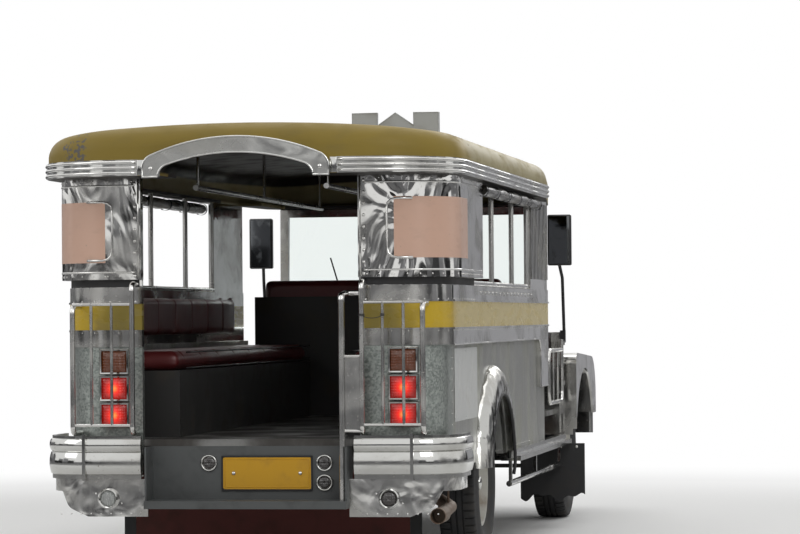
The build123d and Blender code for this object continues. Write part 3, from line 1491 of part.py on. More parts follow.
DOOR_REAR_Y = CAB_REAR_Y - 40
with BuildPart() as half_door_left:
    add(
        tube(
            [
                (DOOR_X, DOOR_HINGE_Y, DOOR_TOP_Z + 60),
                (DOOR_X, DOOR_HINGE_Y, DOOR_LOW_Z),
                (DOOR_X, DOOR_REAR_Y, DOOR_LOW_Z),
                (DOOR_X, DOOR_REAR_Y, DOOR_TOP_Z),
                (DOOR_X, DOOR_HINGE_Y + DOOR_TUBE / 4, DOOR_TOP_Z),
            ],
            DOOR_TUBE,
            60,
        )
    )
    for i in (1, 2):
        y = DOOR_HINGE_Y + i * (DOOR_REAR_Y - DOOR_HINGE_Y) / 3
        add(rod((DOOR_X, y, DOOR_LOW_Z), (DOOR_X, y, DOOR_TOP_Z), 18))
keep(half_door_left, "half_door_left")
with BuildPart() as half_door_right:
    add(half_door_left.part)
    mirror(about=Plane.YZ, mode=Mode.REPLACE)
keep(half_door_right, "half_door_right")

# Inside: benches on both sides with their cushions and backs, cab seats, rails on the ceiling.

BENCH_IN = 385
BENCH_OUT = LOWER_HALF - WALL - SEAT_GAP
BENCH_REAR_Y = 2480
BENCH_FRONT_Y = -560
BENCH_TOP_Z = 950
BENCH_T = 20
SEAT_HALF = 700
SEAT_REAR_Y = -620
SEAT_FRONT_Y = -1120
SEAT_TOP_Z = 880
SEAT_BACK_Z = 1300
SEAT_BACK_T = 30
with BuildPart() as seat_frames:
    add(block(BENCH_IN, BENCH_IN + BENCH_T, BENCH_FRONT_Y, BENCH_REAR_Y, FLOOR_Z, BENCH_TOP_Z))
    add(block(BENCH_IN, BENCH_OUT, BENCH_FRONT_Y, BENCH_REAR_Y, BENCH_TOP_Z - BENCH_T, BENCH_TOP_Z))
    for y in (BENCH_FRONT_Y, 560, 1720, BENCH_REAR_Y - BENCH_T):
        add(block(BENCH_IN, BENCH_OUT, y, y + BENCH_T, FLOOR_Z, BENCH_TOP_Z))
    mirror(about=Plane.YZ)
    add(block(-SEAT_HALF, SEAT_HALF, SEAT_FRONT_Y, SEAT_REAR_Y, FLOOR_Z, SEAT_TOP_Z))
    add(
        block(
            -SEAT_HALF + BENCH_T,
            SEAT_HALF - BENCH_T,
            SEAT_FRONT_Y + BENCH_T,
            SEAT_REAR_Y - BENCH_T,
            FLOOR_Z - 1,
            SEAT_TOP_Z - BENCH_T,
        ),
        mode=Mode.SUBTRACT,
    )
    add(block(-SEAT_HALF, SEAT_HALF, SEAT_REAR_Y - SEAT_BACK_T, SEAT_REAR_Y, SEAT_TOP_Z - 10, SEAT_BACK_Z))
keep(seat_frames, "seat_frames")

CUSHION_H = 90
BACK_T = 55
BACK_OUT = BELT_HALF - WALL - SEAT_GAP
with BuildPart() as bench_cushions:
    add(
        block(
            BENCH_IN - 10,
            BENCH_OUT - 20,
            BENCH_FRONT_Y,
            BENCH_REAR_Y - 10,
            BENCH_TOP_Z + SEAT_GAP,
            BENCH_TOP_Z + CUSHION_H,
        )
    )
    add(
        block(
            BACK_OUT - BACK_T,
            BACK_OUT,
            BENCH_FRONT_Y + 20,
            BENCH_REAR_Y - 40,
            BENCH_TOP_Z + CUSHION_H + 40,
            SILL_Z - 15,
        )
    )
    fillet(bench_cushions.edges().filter_by(Axis.Y), 20)
    mirror(about=Plane.YZ)
keep(bench_cushions, "bench_cushions")

with BuildPart() as cab_seats:
    for x in (-355, 355):
        seat_low = SEAT_TOP_Z + SEAT_GAP
        seat_back_y = SEAT_REAR_Y - SEAT_BACK_T - SEAT_GAP
        add(block(x - 330, x + 330, SEAT_FRONT_Y - 10, seat_back_y - 112, seat_low, SEAT_TOP_Z + 100))
        add(block(x - 330, x + 330, seat_back_y - 110, seat_back_y, seat_low, SEAT_BACK_Z + 120))
    fillet(cab_seats.edges().filter_by(Axis.X), 30)
keep(cab_seats, "cab_seats")

# Steering wheel, its column and the gear lever.

STEER_R = 205
STEER_TUBE = 26
steer_plane = Plane(origin=STEER_HUB, x_dir=(1, 0, 0), z_dir=STEER_DIR)
with BuildPart() as steering_wheel:
    with Locations(steer_plane):
        Torus(STEER_R - STEER_TUBE / 2, STEER_TUBE / 2)
        Cylinder(34, 40)
        for angle in (90, 210, 330):
            with Locations(Location((0, 0, 0), (0, 0, angle))):
                with Locations((STEER_R / 2, 0, 0)):
                    Box(STEER_R - 30, 22, 10)
keep(steering_wheel, "steering_wheel")

LEVER_X = 60
LEVER_Y = -1350
KNOB = (70, -1250, 980)
with BuildPart() as cab_controls:
    add(rod(COLUMN_TOP, COLUMN_END, COLUMN_D))
    add(rod((LEVER_X, LEVER_Y, FLOOR_Z + SEAT_GAP), (LEVER_X, LEVER_Y, FLOOR_Z + 60), 90))
    add(rod((LEVER_X, LEVER_Y, FLOOR_Z + 20), KNOB, 16))
    with Locations(KNOB):
        Sphere(26)
keep(cab_controls, "cab_controls")

# Blank number plate on the step's riser, and the flaps behind the wheels.

PLATE_W = 395
PLATE_H = 140
with BuildPart() as number_plate:
    with BuildSketch(Plane.XZ.offset(-REAR_Y - PLATE_DEPTH)):
        with Locations((NUMBER_X, NUMBER_Z)):
            RectangleRounded(PLATE_W, PLATE_H, 8)
            with GridLocations(PLATE_HOLE_PITCH, 1, 2, 1):
                Circle(PLATE_HOLE_R, mode=Mode.SUBTRACT)
    extrude(amount=PLATE_DEPTH - SEAT_GAP)
keep(number_plate, "number_plate")

FLAP_Y = 2300
FLAP_HALF = 690
FLAP_T = 8
FLAP_LOW_Z = 110
FLAP_HIGH_Z = 330
FLAP_STRAP_W = 60
FRONT_FLAP_IN = 620
FRONT_FLAP_OUT = 990
FRONT_FLAP_Z = 120
with BuildPart() as mudflaps:
    add(block(-FLAP_HALF, FLAP_HALF, FLAP_Y, FLAP_Y + FLAP_T, FLAP_LOW_Z, FLAP_HIGH_Z))
    for side in (-1, 1):
        x = side * RAIL_X
        add(
            block(
                x - FLAP_STRAP_W / 2,
                x + FLAP_STRAP_W / 2,
                FLAP_Y,
                FLAP_Y + FLAP_T,
                FLAP_HIGH_Z - 10,
                RAIL_BOTTOM_Z - SEAT_GAP,
            )
        )
    for side in (-1, 1):
        low, high = sorted((side * FRONT_FLAP_IN, side * FRONT_FLAP_OUT))
        add(block(low, high, COWL_Y + 5, COWL_Y + 5 + FLAP_T, FRONT_FLAP_Z, SILL_STEPS[0][0] - SEAT_GAP))
keep(mudflaps, "mudflaps")
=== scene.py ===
# %% [markdown]
# # A stainless-bodied passenger jeepney
# The CAD model comes in as one object for each node, in metres: +Z is up, -Y is the front
# and +X is the vehicle's left. This lesson dresses it: the finishes first, then the soft
# goods, then the small trim that a body shop adds with a drill and a box of rivets.

import math

import bmesh
import bpy
from mathutils import Matrix, Vector, noise
from mathutils.bvhtree import BVHTree


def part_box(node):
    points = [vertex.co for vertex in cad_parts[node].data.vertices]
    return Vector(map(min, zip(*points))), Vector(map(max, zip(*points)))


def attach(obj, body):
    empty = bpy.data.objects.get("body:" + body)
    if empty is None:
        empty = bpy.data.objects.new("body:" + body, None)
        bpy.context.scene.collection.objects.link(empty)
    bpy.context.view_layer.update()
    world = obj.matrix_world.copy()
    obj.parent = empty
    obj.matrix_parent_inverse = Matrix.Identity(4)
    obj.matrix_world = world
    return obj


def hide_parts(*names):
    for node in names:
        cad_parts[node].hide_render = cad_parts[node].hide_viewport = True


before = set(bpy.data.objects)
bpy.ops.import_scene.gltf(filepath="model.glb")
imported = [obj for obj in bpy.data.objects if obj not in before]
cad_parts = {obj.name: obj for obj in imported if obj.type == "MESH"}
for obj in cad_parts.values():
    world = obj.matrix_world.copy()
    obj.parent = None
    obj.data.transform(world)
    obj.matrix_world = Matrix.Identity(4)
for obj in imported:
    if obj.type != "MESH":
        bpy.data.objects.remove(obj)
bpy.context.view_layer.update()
scene = bpy.context.scene

# %% [markdown]
# ## Camera
# The photograph was taken from behind with a long lens, so the body's side is almost edge
# on. The lens length comes from the frame's width in pixels, and the turn and tilt from where
# the long edges of the body meet. Setting the direction from two angles keeps it readable.

# %% Make the camera
FRAME_W = 800
FOCAL_PX = 3239.0
SENSOR_MM = 36.0
CAMERA_AT = Vector((-3.020, 16.75, 1.180))
CAMERA_YAW = math.radians(9.515)
CAMERA_PITCH = math.radians(0.898)
CAMERA_ROLL = math.radians(-0.50)

camera = bpy.data.objects.new("camera", bpy.data.cameras.new("camera"))
scene.collection.objects.link(camera)
camera.data.sensor_width = SENSOR_MM
camera.data.lens = FOCAL_PX / FRAME_W * SENSOR_MM
camera.data.clip_end = 400
sight = Vector(
    (
        math.sin(CAMERA_YAW) * math.cos(CAMERA_PITCH),
        -math.cos(CAMERA_YAW) * math.cos(CAMERA_PITCH),
        math.sin(CAMERA_PITCH),
    )
)
camera.rotation_mode = "QUATERNION"
camera.rotation_quaternion = sight.to_track_quat("-Z", "Y") @ Matrix.Rotation(CAMERA_ROLL, 3, "Z").to_quaternion()
camera.location = CAMERA_AT
scene.camera = camera
print("camera: lens", round(camera.data.lens, 1), "mm")

# %% [markdown]
# ## Wires
# A finish is a small graph of nodes. Written out node by node it is long and hard to read, so
# one class wraps a socket and lets Python's own operators add the Math nodes, and one class
# holds a material and adds any other node from its settings and its inputs.

# %% Socket wrapper
class Wire:
    """A socket of a node tree that takes part in Python expressions."""

    def __init__(self, finish, socket):
        self.finish = finish
        self.socket = socket

    def math(self, operation, *others, clamp=False):
        values = {0: self}
        values.update({1 + i: other for i, other in enumerate(others)})
        return self.finish.node("ShaderNodeMath", {"operation": operation, "use_clamp": clamp}, values)

    def __add__(self, other):
        return self.math("ADD", other)

    def __sub__(self, other):
        return self.math("SUBTRACT", other)

    def __mul__(self, other):
        return self.math("MULTIPLY", other)

    def __rsub__(self, other):
        return self.finish.node("ShaderNodeMath", {"operation": "SUBTRACT"}, {0: other, 1: self})

    def __gt__(self, other):
        return self.math("GREATER_THAN", other)

    def __lt__(self, other):
        return self.math("LESS_THAN", other)

    __radd__ = __add__
    __rmul__ = __mul__


# %% Material builder
class Finish:
    """One material: a Principled shader, with values set on its own sockets."""

    def __init__(self, name, colour, roughness=0.5, metallic=0.0, **sockets):
        self.material = bpy.data.materials.new(name)
        self.material.use_nodes = True
        self.tree = self.material.node_tree
        self.shader = self.tree.nodes["Principled BSDF"]
        self.shader.inputs["Base Color"].default_value = (*colour, 1)
        self.shader.inputs["Roughness"].default_value = roughness
        self.shader.inputs["Metallic"].default_value = metallic
        for socket, value in sockets.items():
            self.shader.inputs[socket.replace("_", " ")].default_value = value

    def node(self, kind, settings=None, inputs=None, output=0):
        """A new shader node with its settings and inputs; gives one of its outputs."""
        made = self.tree.nodes.new(kind)
        for key, value in (settings or {}).items():
            if key == "stops":
                ramp = made.color_ramp.elements
                while len(ramp) < len(value):
                    ramp.new(0.5)
                for element, (place, colour) in zip(ramp, value):
                    element.position = place
                    element.color = (*colour, 1)
            else:
                setattr(made, key, value)
        for key, value in (inputs or {}).items():
            if isinstance(value, Wire):
                self.tree.links.new(value.socket, made.inputs[key])
            elif value is not None:
                made.inputs[key].default_value = value
        return Wire(self, made.outputs[output])

    def place(self):
        """The point in metres, in the vehicle's own frame."""
        return self.node("ShaderNodeTexCoord", output="Object")

    def axis(self, letter):
        """One coordinate of the point."""
        return self.node("ShaderNodeSeparateXYZ", {}, {0: self.place()}, output=letter)

    def stretched(self, stretch):
        """The point, scaled on each axis."""
        return self.node("ShaderNodeMapping", {}, {"Vector": self.place(), "Scale": stretch})

    def noise(self, scale, stretch=(1, 1, 1), detail=3.0, distortion=0.0):
        """Smooth noise from 0 to 1; scale is in waves per metre."""
        values = {"Vector": self.stretched(stretch), "Scale": scale, "Detail": detail, "Distortion": distortion}
        return self.node("ShaderNodeTexNoise", {}, values)

    def cells(self, scale, stretch=(1, 1, 1), feature="F1", output="Distance"):
        """A pattern of cells, like crystals or studs."""
        return self.node(
            "ShaderNodeTexVoronoi",
            {"feature": feature},
            {"Vector": self.stretched(stretch), "Scale": scale},
            output=output,
        )

    def between(self, wire, low, high):
        """0 below low, 1 above high, with a soft step from one to the other."""
        return self.node(
            "ShaderNodeMapRange",
            {"interpolation_type": "SMOOTHSTEP", "clamp": True},
            {"Value": wire, "From Min": low, "From Max": high},
        )

    def away_from(self, centre):
        """The distance from a point, in metres."""
        return self.node(
            "ShaderNodeVectorMath", {"operation": "DISTANCE"}, {0: self.place(), 1: centre}, output="Value"
        )

    def blend(self, factor, first, second, how="MIX"):
        """A colour between two others; factor 0 gives the first."""

        def colour(value):
            return value if isinstance(value, Wire) else (*value, 1)

        settings = {"data_type": "RGBA", "blend_type": how}
        return self.node("ShaderNodeMix", settings, {0: factor, 6: colour(first), 7: colour(second)}, output=2)

    def feed(self, **wires):
        """Links wires to the shader's sockets by name."""
        for socket, wire in wires.items():
            self.tree.links.new(wire.socket, self.shader.inputs[socket.replace("_", " ")])
        return self

    def bump(self, height, depth, base=None):
        """depth is the height's full range in metres."""
        return self.node("ShaderNodeBump", {}, {"Height": height, "Distance": depth, "Strength": 1.0, "Normal": base})


# %% [markdown]
# ## Studio
# Polished sheet shows the room more than itself. A white room alone would leave it flat, so
# grey flags stand round the stage where only reflections see them, as a car photographer
# sets them, and a dark mat lies on the floor beyond the picture. The floor goes to white with
# distance, so that no edge of it shows.

# %% World and lamps
ROOM_LIGHT = 0.32
LAMPS_AIM = Vector((0, 0, 0.9))
world = bpy.data.worlds.new("white_room")
world.use_nodes = True
scene.world = world
scene.view_settings.view_transform = "Standard"
sky = world.node_tree
ray = sky.nodes.new("ShaderNodeLightPath")
seen = ray.outputs["Is Camera Ray"]
for kind in ("Is Glossy Ray", "Is Transmission Ray"):
    either = sky.nodes.new("ShaderNodeMath")
    either.operation = "MAXIMUM"
    sky.links.new(seen, either.inputs[0])
    sky.links.new(ray.outputs[kind], either.inputs[1])
    seen = either.outputs[0]
level = sky.nodes.new("ShaderNodeMapRange")
level.inputs["To Min"].default_value = ROOM_LIGHT
level.inputs["To Max"].default_value = 1.0
sky.links.new(seen, level.inputs["Value"])
sky.links.new(level.outputs[0], sky.nodes["Background"].inputs["Strength"])
sky.nodes["Background"].inputs["Color"].default_value = (1, 1, 1, 1)

AREA_LAMPS = (
    # name, place, size, watts
    ("key_lamp", (-7.0, 12.0, 8.0), 6.0, 420),
    ("fill_lamp", (9.0, 7.0, 6.0), 6.0, 180),
    ("front_lamp", (-3.0, -12.0, 7.0), 6.0, 330),
    ("top_lamp", (0.0, 0.0, 9.0), 8.0, 300),
)
for name, at, size, watts in AREA_LAMPS:
    lamp = bpy.data.objects.new(name, bpy.data.lights.new(name, "AREA"))
    lamp.data.size = size
    lamp.data.energy = watts
    lamp.location = at
    lamp.rotation_mode = "QUATERNION"
    lamp.rotation_quaternion = (LAMPS_AIM - Vector(at)).to_track_quat("-Z", "Y")
    scene.collection.objects.link(lamp)
print(len(AREA_LAMPS), "lamps")


# %% Mesh helpers
def finish_mesh(name, mesh, finish, body="body", smooth=True, sharp=None):
    """Turns a bmesh into an object at the origin, which rides on a body.

    Edges that bend by more than sharp degrees keep their crease.
    """
    bmesh.ops.recalc_face_normals(mesh, faces=mesh.faces)
    data = bpy.data.meshes.new(name)
    mesh.to_mesh(data)
    mesh.free()
    if smooth:
        data.shade_smooth()
    piece = bpy.data.objects.new(name, data)
    scene.collection.objects.link(piece)
    piece.data.materials.append(finish.material)
    if body:
        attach(piece, body)
    if sharp:
        data.set_sharp_from_angle(angle=math.radians(sharp))
    return piece


def box_mesh(low, high, mesh=None):
    """A box between two corners, added to a bmesh."""
    mesh = mesh or bmesh.new()
    low, high = Vector(low), Vector(high)
    turn = Matrix.Translation((low + high) / 2) @ Matrix.Diagonal((*(high - low), 1))
    bmesh.ops.create_cube(mesh, size=1, matrix=turn)
    return mesh


def bevel_all(mesh, width, segments=2):
    """Rounds every edge of a bmesh."""
    bmesh.ops.bevel(
        mesh,
        geom=mesh.edges[:],
        offset=width,
        offset_type="OFFSET",
        segments=segments,
        profile=0.5,
        affect="EDGES",
        clamp_overlap=True,
        material=-1,
    )


# %% [markdown]
# ## Floor and flags
# The floor is one large disc. Its own colour is pale, and from four metres out it turns into
# the white of the room. The flags are upright cards in two rings: low dark ones near by, like a
# street's traffic, and taller grey ones behind, with gaps that leave bright lines in the steel.

# %% Floor
PALE_FROM, WHITE_FROM, FLOOR_R = 3.6, 9.0, 120
paper = Finish("floor_paper", (0.90, 0.90, 0.89), roughness=0.9)
away = paper.node("ShaderNodeVectorMath", {"operation": "LENGTH"}, {0: paper.place()}, output="Value")
glow = paper.node("ShaderNodeEmission", {}, {"Color": (1, 1, 1, 1), "Strength": 1.0})
direct, glossy, through = (
    paper.node("ShaderNodeLightPath", output=f"Is {kind} Ray") for kind in ("Camera", "Glossy", "Transmission")
)
seen_paper = direct.math("MAXIMUM", glossy).math("MAXIMUM", through)
whitening = paper.between(away, PALE_FROM, WHITE_FROM) * seen_paper
mixed = paper.node("ShaderNodeMixShader", {}, {0: whitening, 1: Wire(paper, paper.shader.outputs[0]), 2: glow})
paper.tree.links.new(mixed.socket, paper.tree.nodes["Material Output"].inputs["Surface"])
ground = bmesh.new()
bmesh.ops.create_circle(ground, cap_ends=True, segments=96, radius=FLOOR_R)
floor = finish_mesh("floor", ground, paper, body=None)

# %% Flags and mat
NEAR_R, FAR_R = 21.0, 31.0
CARDS = 24
NEAR_GREYS = (0.06, 0.34, 0.12, 0.52, 0.05, 0.26, 0.42, 0.08)
NEAR_TOPS = (1.9, 1.3, 2.5, 1.5, 2.1, 1.2, 2.7, 1.7, 1.4, 2.3)
FAR_GREYS = (0.52, 0.80, 0.40, 0.66, 0.88)
FAR_TOPS = (4.6, 6.0, 3.9, 6.6, 5.2, 3.5, 5.6)
GAP_EVERY = 5
SIDE_CARD = 17  # the one that the right side mirrors: an open, paler street
SIDE_GREYS = {NEAR_R: 0.90, FAR_R: 0.94}
CARD_T = 0.05
FILLED = {NEAR_R: 1.02, FAR_R: 0.92}  # a card's share of its place in the ring
cards = [(NEAR_R, k, NEAR_TOPS[k % len(NEAR_TOPS)], NEAR_GREYS[k % len(NEAR_GREYS)]) for k in range(CARDS)]
cards += [
    (FAR_R, k, FAR_TOPS[k % len(FAR_TOPS)], FAR_GREYS[k % len(FAR_GREYS)])
    for k in range(CARDS)
    if k % GAP_EVERY != 3
]
cloths = {}
for row, (distance, k, high, grey) in enumerate(cards):
    if k == SIDE_CARD:
        grey = SIDE_GREYS[distance]
    if grey not in cloths:
        cloths[grey] = Finish(f"flag_cloth_{len(cloths)}", (grey, grey, grey * 1.04), roughness=1.0)
    card = bmesh.new()
    width = 2 * distance * math.tan(math.pi / CARDS) * FILLED[distance]
    turn = Matrix.Rotation(2 * math.pi * (k + 0.5) / CARDS, 4, "Z")
    facing = turn @ Matrix.Translation((distance, 0, high / 2)) @ Matrix.Diagonal((CARD_T, width, high, 1))
    bmesh.ops.create_cube(card, size=1, matrix=facing)
    flag = finish_mesh(f"flag_{row}", card, cloths[grey], body=None, smooth=False)
    flag.visible_camera = False

MAT_OUTER, MAT_INNER, MAT_Z = 30, 6.5, 0.01
mat_ring = bmesh.new()
for radius in (MAT_OUTER, MAT_INNER):
    at = Matrix.Translation((0, 0, MAT_Z))
    bmesh.ops.create_circle(mat_ring, cap_ends=False, segments=64, radius=radius, matrix=at)
bmesh.ops.bridge_loops(mat_ring, edges=mat_ring.edges[:])
mat_cloth = Finish("floor_mat_cloth", (0.26, 0.26, 0.265), roughness=0.9)
mat = finish_mesh("floor_mat", mat_ring, mat_cloth, body=None)
mat.visible_camera = False
mat.visible_diffuse = False
mat.visible_shadow = False
print(len(cards), "flags")

# %% [markdown]
# ## Metal finishes
# The body is hand-beaten stainless and galvanised sheet. Stainless is a mirror that was never
# quite flat, so its finish is a low, wide bump in a bright metal, with smears and fine wiping
# marks in its roughness. Galvanised sheet has its zinc crystals, which are cells of slightly
# different greys.

# %% Stainless sheet
STEEL = (0.66, 0.655, 0.635)
CORNER_FROM_Y, CORNER_TO_Y = 2.30, 2.62


def stainless(name, roughness, dent, dent_scale, colour=STEEL, grime=0.35, stretch=(1, 1, 1), swirl=0.6):
    """Polished sheet: dents, wiping marks, and smears that carry grime and specks."""
    steel = Finish(name, colour, roughness, 1.0)
    beaten = steel.noise(dent_scale, stretch, detail=1.5, distortion=swirl)
    wiped = steel.noise(38, (1, 1, 0.25), detail=4)
    smear = steel.between(steel.noise(3.1, (1, 1, 1.6), detail=5, distortion=0.4), 0.42, 0.72)
    specks = steel.between(steel.noise(95, detail=2), 0.66, 0.78)
    dull = smear * 0.20 + wiped * 0.10 + specks * 0.25 + (roughness - 0.05)
    tint = steel.blend(smear * grime, colour, (0.30, 0.285, 0.25))
    marked = steel.blend(specks * 0.55, tint, (0.16, 0.12, 0.08))
    steel.feed(Base_Color=marked, Roughness=dull)
    fine = steel.bump(wiped, 0.0002)
    if swirl > 1:  # strong swirls are for the rear corners: the long side sheets are nearly flat
        at_rear = steel.between(steel.axis("Y"), CORNER_FROM_Y, CORNER_TO_Y)
        beaten = beaten * (0.12 + at_rear * 0.88)
    steel.feed(Normal=steel.bump(beaten, dent, fine))
    return steel


stainless_sheet = stainless("stainless_sheet", 0.10, 0.010, 4.6, stretch=(1, 0.22, 0.8))
quarter_sheet = stainless("quarter_sheet", 0.07, 0.024, 3.8, stretch=(1, 0.5, 0.7), grime=0.3, swirl=2.2)
apron_sheet = stainless("apron_sheet", 0.12, 0.006, 9.0, grime=0.5)
fender_sheet = stainless(
    "fender_sheet", 0.12, 0.016, 8.0, colour=(0.50, 0.50, 0.48), stretch=(1, 0.9, 0.5), grime=0.75, swirl=0.9
)
stainless_tube = stainless("stainless_tube", 0.15, 0.0001, 20.0, grime=0.4)
chrome_trim = stainless(
    "chrome_trim", 0.09, 0.0012, 7.0, colour=(0.60, 0.60, 0.58), stretch=(1, 0.4, 0.6), grime=0.45
)
bright_sheet = stainless("bright_sheet", 0.12, 0.0022, 5.0, stretch=(1, 0.25, 0.8))
visor_sheet = stainless("visor_sheet", 0.18, 0.002, 8.0, colour=(0.52, 0.52, 0.50), grime=0.5)

# %% Galvanised sheet
ZINC = (0.40, 0.42, 0.405)
SPANGLE_Y = 2.42
galvanised = Finish("galvanised_sheet", ZINC, 0.42, 0.85)
crystal = galvanised.cells(118, output="Color")
crystal_value = galvanised.node("ShaderNodeSeparateColor", {}, {0: crystal})
crystal_fine = galvanised.noise(160, detail=3)
at_rear = galvanised.between(galvanised.axis("Y"), SPANGLE_Y - 0.10, SPANGLE_Y + 0.06)
brushed = galvanised.noise(16, (4, 1, 0.10), detail=4)
streaks = galvanised.between(galvanised.noise(5, (3, 1, 0.22), detail=5, distortion=0.3), 0.45, 0.75)
spangled = galvanised.blend(crystal_value * 0.75 + crystal_fine * 0.25, (0.20, 0.225, 0.21), (0.47, 0.50, 0.47))
rolled = galvanised.blend(brushed, (0.34, 0.345, 0.335), (0.50, 0.50, 0.48))
rained = galvanised.blend(streaks * 0.65, rolled, (0.22, 0.22, 0.19))
mossy = galvanised.between(galvanised.noise(2.2, (1, 0.7, 0.4), detail=3), 0.50, 0.72)
warmed = galvanised.blend(mossy * 0.35, rained, (0.42, 0.42, 0.20))
galvanised.feed(
    Base_Color=galvanised.blend(at_rear, warmed, spangled),
    Roughness=0.30 + crystal_value * 0.10 + streaks * 0.22,
    Normal=galvanised.bump(galvanised.noise(4.5, detail=2), 0.004),
)
print("metal finishes ready")

# %% [markdown]
# ## Paint
# The roof and the belt band carry hand-brushed enamel. The roof's top and sides are paler: sun
# bleach, and a painted reflection of the sky. Water has left darker runs at its edge, and it has
# chipped where it was knocked.

# %% Roof and band paint
SCRAPE_AT = (-0.86, 2.60, 1.965)
CHIPPED_AT = (0.74, 2.93, 1.92)
# The height under which the roof's inside over the saloon and cab gets painted shade.
SHADE_BELOW_Z = 1.876
roof_paint = Finish("roof_paint", (0.42, 0.31, 0.055), 0.55, 0.0, Specular_IOR_Level=0.22)
rear_face = roof_paint.between(roof_paint.axis("Y"), 2.25, 2.62)
sun = roof_paint.between(roof_paint.noise(1.6, detail=4, distortion=0.5), 0.35, 0.7)
dust = roof_paint.between(roof_paint.noise(6, (1, 1, 2.5), detail=6), 0.45, 0.75)
enamel = roof_paint.blend(sun * 0.6, (0.285, 0.205, 0.042), (0.215, 0.155, 0.036))
# Pale khaki on the roof's top and sides is sun bleach and a painted sky reflection; only the rear face keeps the deep
# enamel.
sky_sheen_and_bleach = roof_paint.blend(sun * 0.5, (0.335, 0.285, 0.145), (0.26, 0.22, 0.115))
coat = roof_paint.blend(rear_face, sky_sheen_and_bleach, enamel)
dusty = roof_paint.blend(dust * 0.30, coat, (0.20, 0.16, 0.07))
chips = roof_paint.between(roof_paint.noise(14, detail=6, distortion=0.8), 0.735, 0.76)
ragged = roof_paint.noise(30, detail=4) * 0.09
scrape = roof_paint.between(roof_paint.away_from(SCRAPE_AT) + ragged, 0.088, 0.078)
corner_chips = roof_paint.between(roof_paint.away_from(CHIPPED_AT) + ragged * 2.0, 0.17, 0.155)
edge_chips = corner_chips * roof_paint.between(roof_paint.noise(42, detail=5, distortion=0.6), 0.50, 0.54)
bare = chips.math("MAXIMUM", edge_chips)
chipped = roof_paint.blend(scrape, roof_paint.blend(bare, dusty, (0.13, 0.12, 0.11)), (0.035, 0.033, 0.032))
# Painted shade: the roof's downward faces, and its inside over the saloon and cab below a set height, are painted near
# black.
normal = roof_paint.node("ShaderNodeNewGeometry", output="Normal")
under = roof_paint.node("ShaderNodeSeparateXYZ", {}, {0: normal}, output="Z")
across, along = roof_paint.axis("X").math("ABSOLUTE"), roof_paint.axis("Y")
saloon = (across < 0.86) * (along < 2.85) * (along > -0.42)
cab = (across < 0.70) * (along < -0.41) * (along > -1.55)
inside = saloon.math("MAXIMUM", cab) * (roof_paint.axis("Z") < SHADE_BELOW_Z)
painted_underside_shade = roof_paint.between(under, -0.25, -0.45).math("MAXIMUM", inside)
roof_paint.feed(
    Base_Color=roof_paint.blend(painted_underside_shade, chipped, (0.030, 0.027, 0.024)),
    Roughness=0.50 + dust * 0.22 + chips * 0.1,
)
roof_paint.feed(Normal=roof_paint.bump(roof_paint.noise(3.0, detail=2), 0.006, roof_paint.bump(chips, -0.0008)))

band_paint = Finish("band_paint", (0.45, 0.34, 0.03), 0.36, 0.0, Coat_Weight=0.25, Coat_Roughness=0.18)
# Painted highlight: across the rear, the band turns bright yellow towards the corners where the bend catches the light;
# the middle stays dark olive.
corner_highlight = band_paint.between(band_paint.axis("X").math("ABSOLUTE"), 0.60, 0.80)
along_side = band_paint.between(band_paint.axis("Y"), CORNER_FROM_Y, CORNER_TO_Y)
rear_yellow_with_highlight = band_paint.blend(corner_highlight, (0.28, 0.215, 0.045), (0.62, 0.42, 0.03))
band_colour = band_paint.blend(along_side, (0.68, 0.54, 0.20), rear_yellow_with_highlight)
scuffs = band_paint.between(band_paint.noise(9, (1, 0.5, 2), detail=5), 0.5, 0.8)
band_paint.feed(
    Base_Color=band_paint.blend(scuffs * 0.35, band_colour, (0.16, 0.13, 0.06)),
    Roughness=0.26 + scuffs * 0.3,
    Normal=band_paint.bump(band_paint.noise(5, (1, 0.2, 1), detail=2), 0.0012),
)


def enamelled(name, colour, roughness=0.45, wear=0.3, worn_to=(0.10, 0.08, 0.06), scale=7.0, metallic=0.0):
    """Brushed paint or moulded plastic with dust and worn places."""
    paint = Finish(name, colour, roughness, metallic)
    worn = paint.between(paint.noise(scale, detail=6, distortion=0.3), 0.48, 0.78)
    grain = paint.noise(scale * 30, detail=2)
    paint.feed(
        Base_Color=paint.blend(worn * wear, colour, worn_to),
        Roughness=roughness - 0.05 + worn * 0.25 + grain * 0.08,
        Normal=paint.bump(grain, 0.00025, paint.bump(worn, 0.0005)),
    )
    return paint


chassis_black = enamelled("chassis_black", (0.018, 0.017, 0.016), 0.6, 0.5, (0.07, 0.055, 0.04))
spring_steel = enamelled("spring_steel", (0.05, 0.045, 0.04), 0.6, 0.6, (0.12, 0.06, 0.03), metallic=0.4)
forged_steel = enamelled("forged_steel", (0.07, 0.065, 0.06), 0.55, 0.5, (0.10, 0.06, 0.035), metallic=0.5)
engine_iron = enamelled("engine_iron", (0.10, 0.10, 0.10), 0.55, 0.6, (0.04, 0.03, 0.02), metallic=0.3)
exhaust_steel = enamelled("exhaust_steel", (0.17, 0.13, 0.10), 0.6, 0.6, (0.13, 0.06, 0.03), metallic=0.6)
grey_paint = enamelled("grey_paint", (0.42, 0.43, 0.43), 0.5, 0.35, (0.22, 0.20, 0.17))
black_plastic = enamelled("black_plastic", (0.014, 0.014, 0.015), 0.42, 0.3, (0.05, 0.045, 0.04))
plate_enamel = enamelled("plate_enamel", (0.62, 0.33, 0.012), 0.38, 0.35, (0.30, 0.16, 0.03), 11)
riser_grey = enamelled("riser_grey", (0.085, 0.09, 0.09), 0.5, 0.5, (0.03, 0.028, 0.025))
wheel_white = enamelled("wheel_white", (0.55, 0.54, 0.50), 0.45, 0.7, (0.20, 0.13, 0.07), 9)
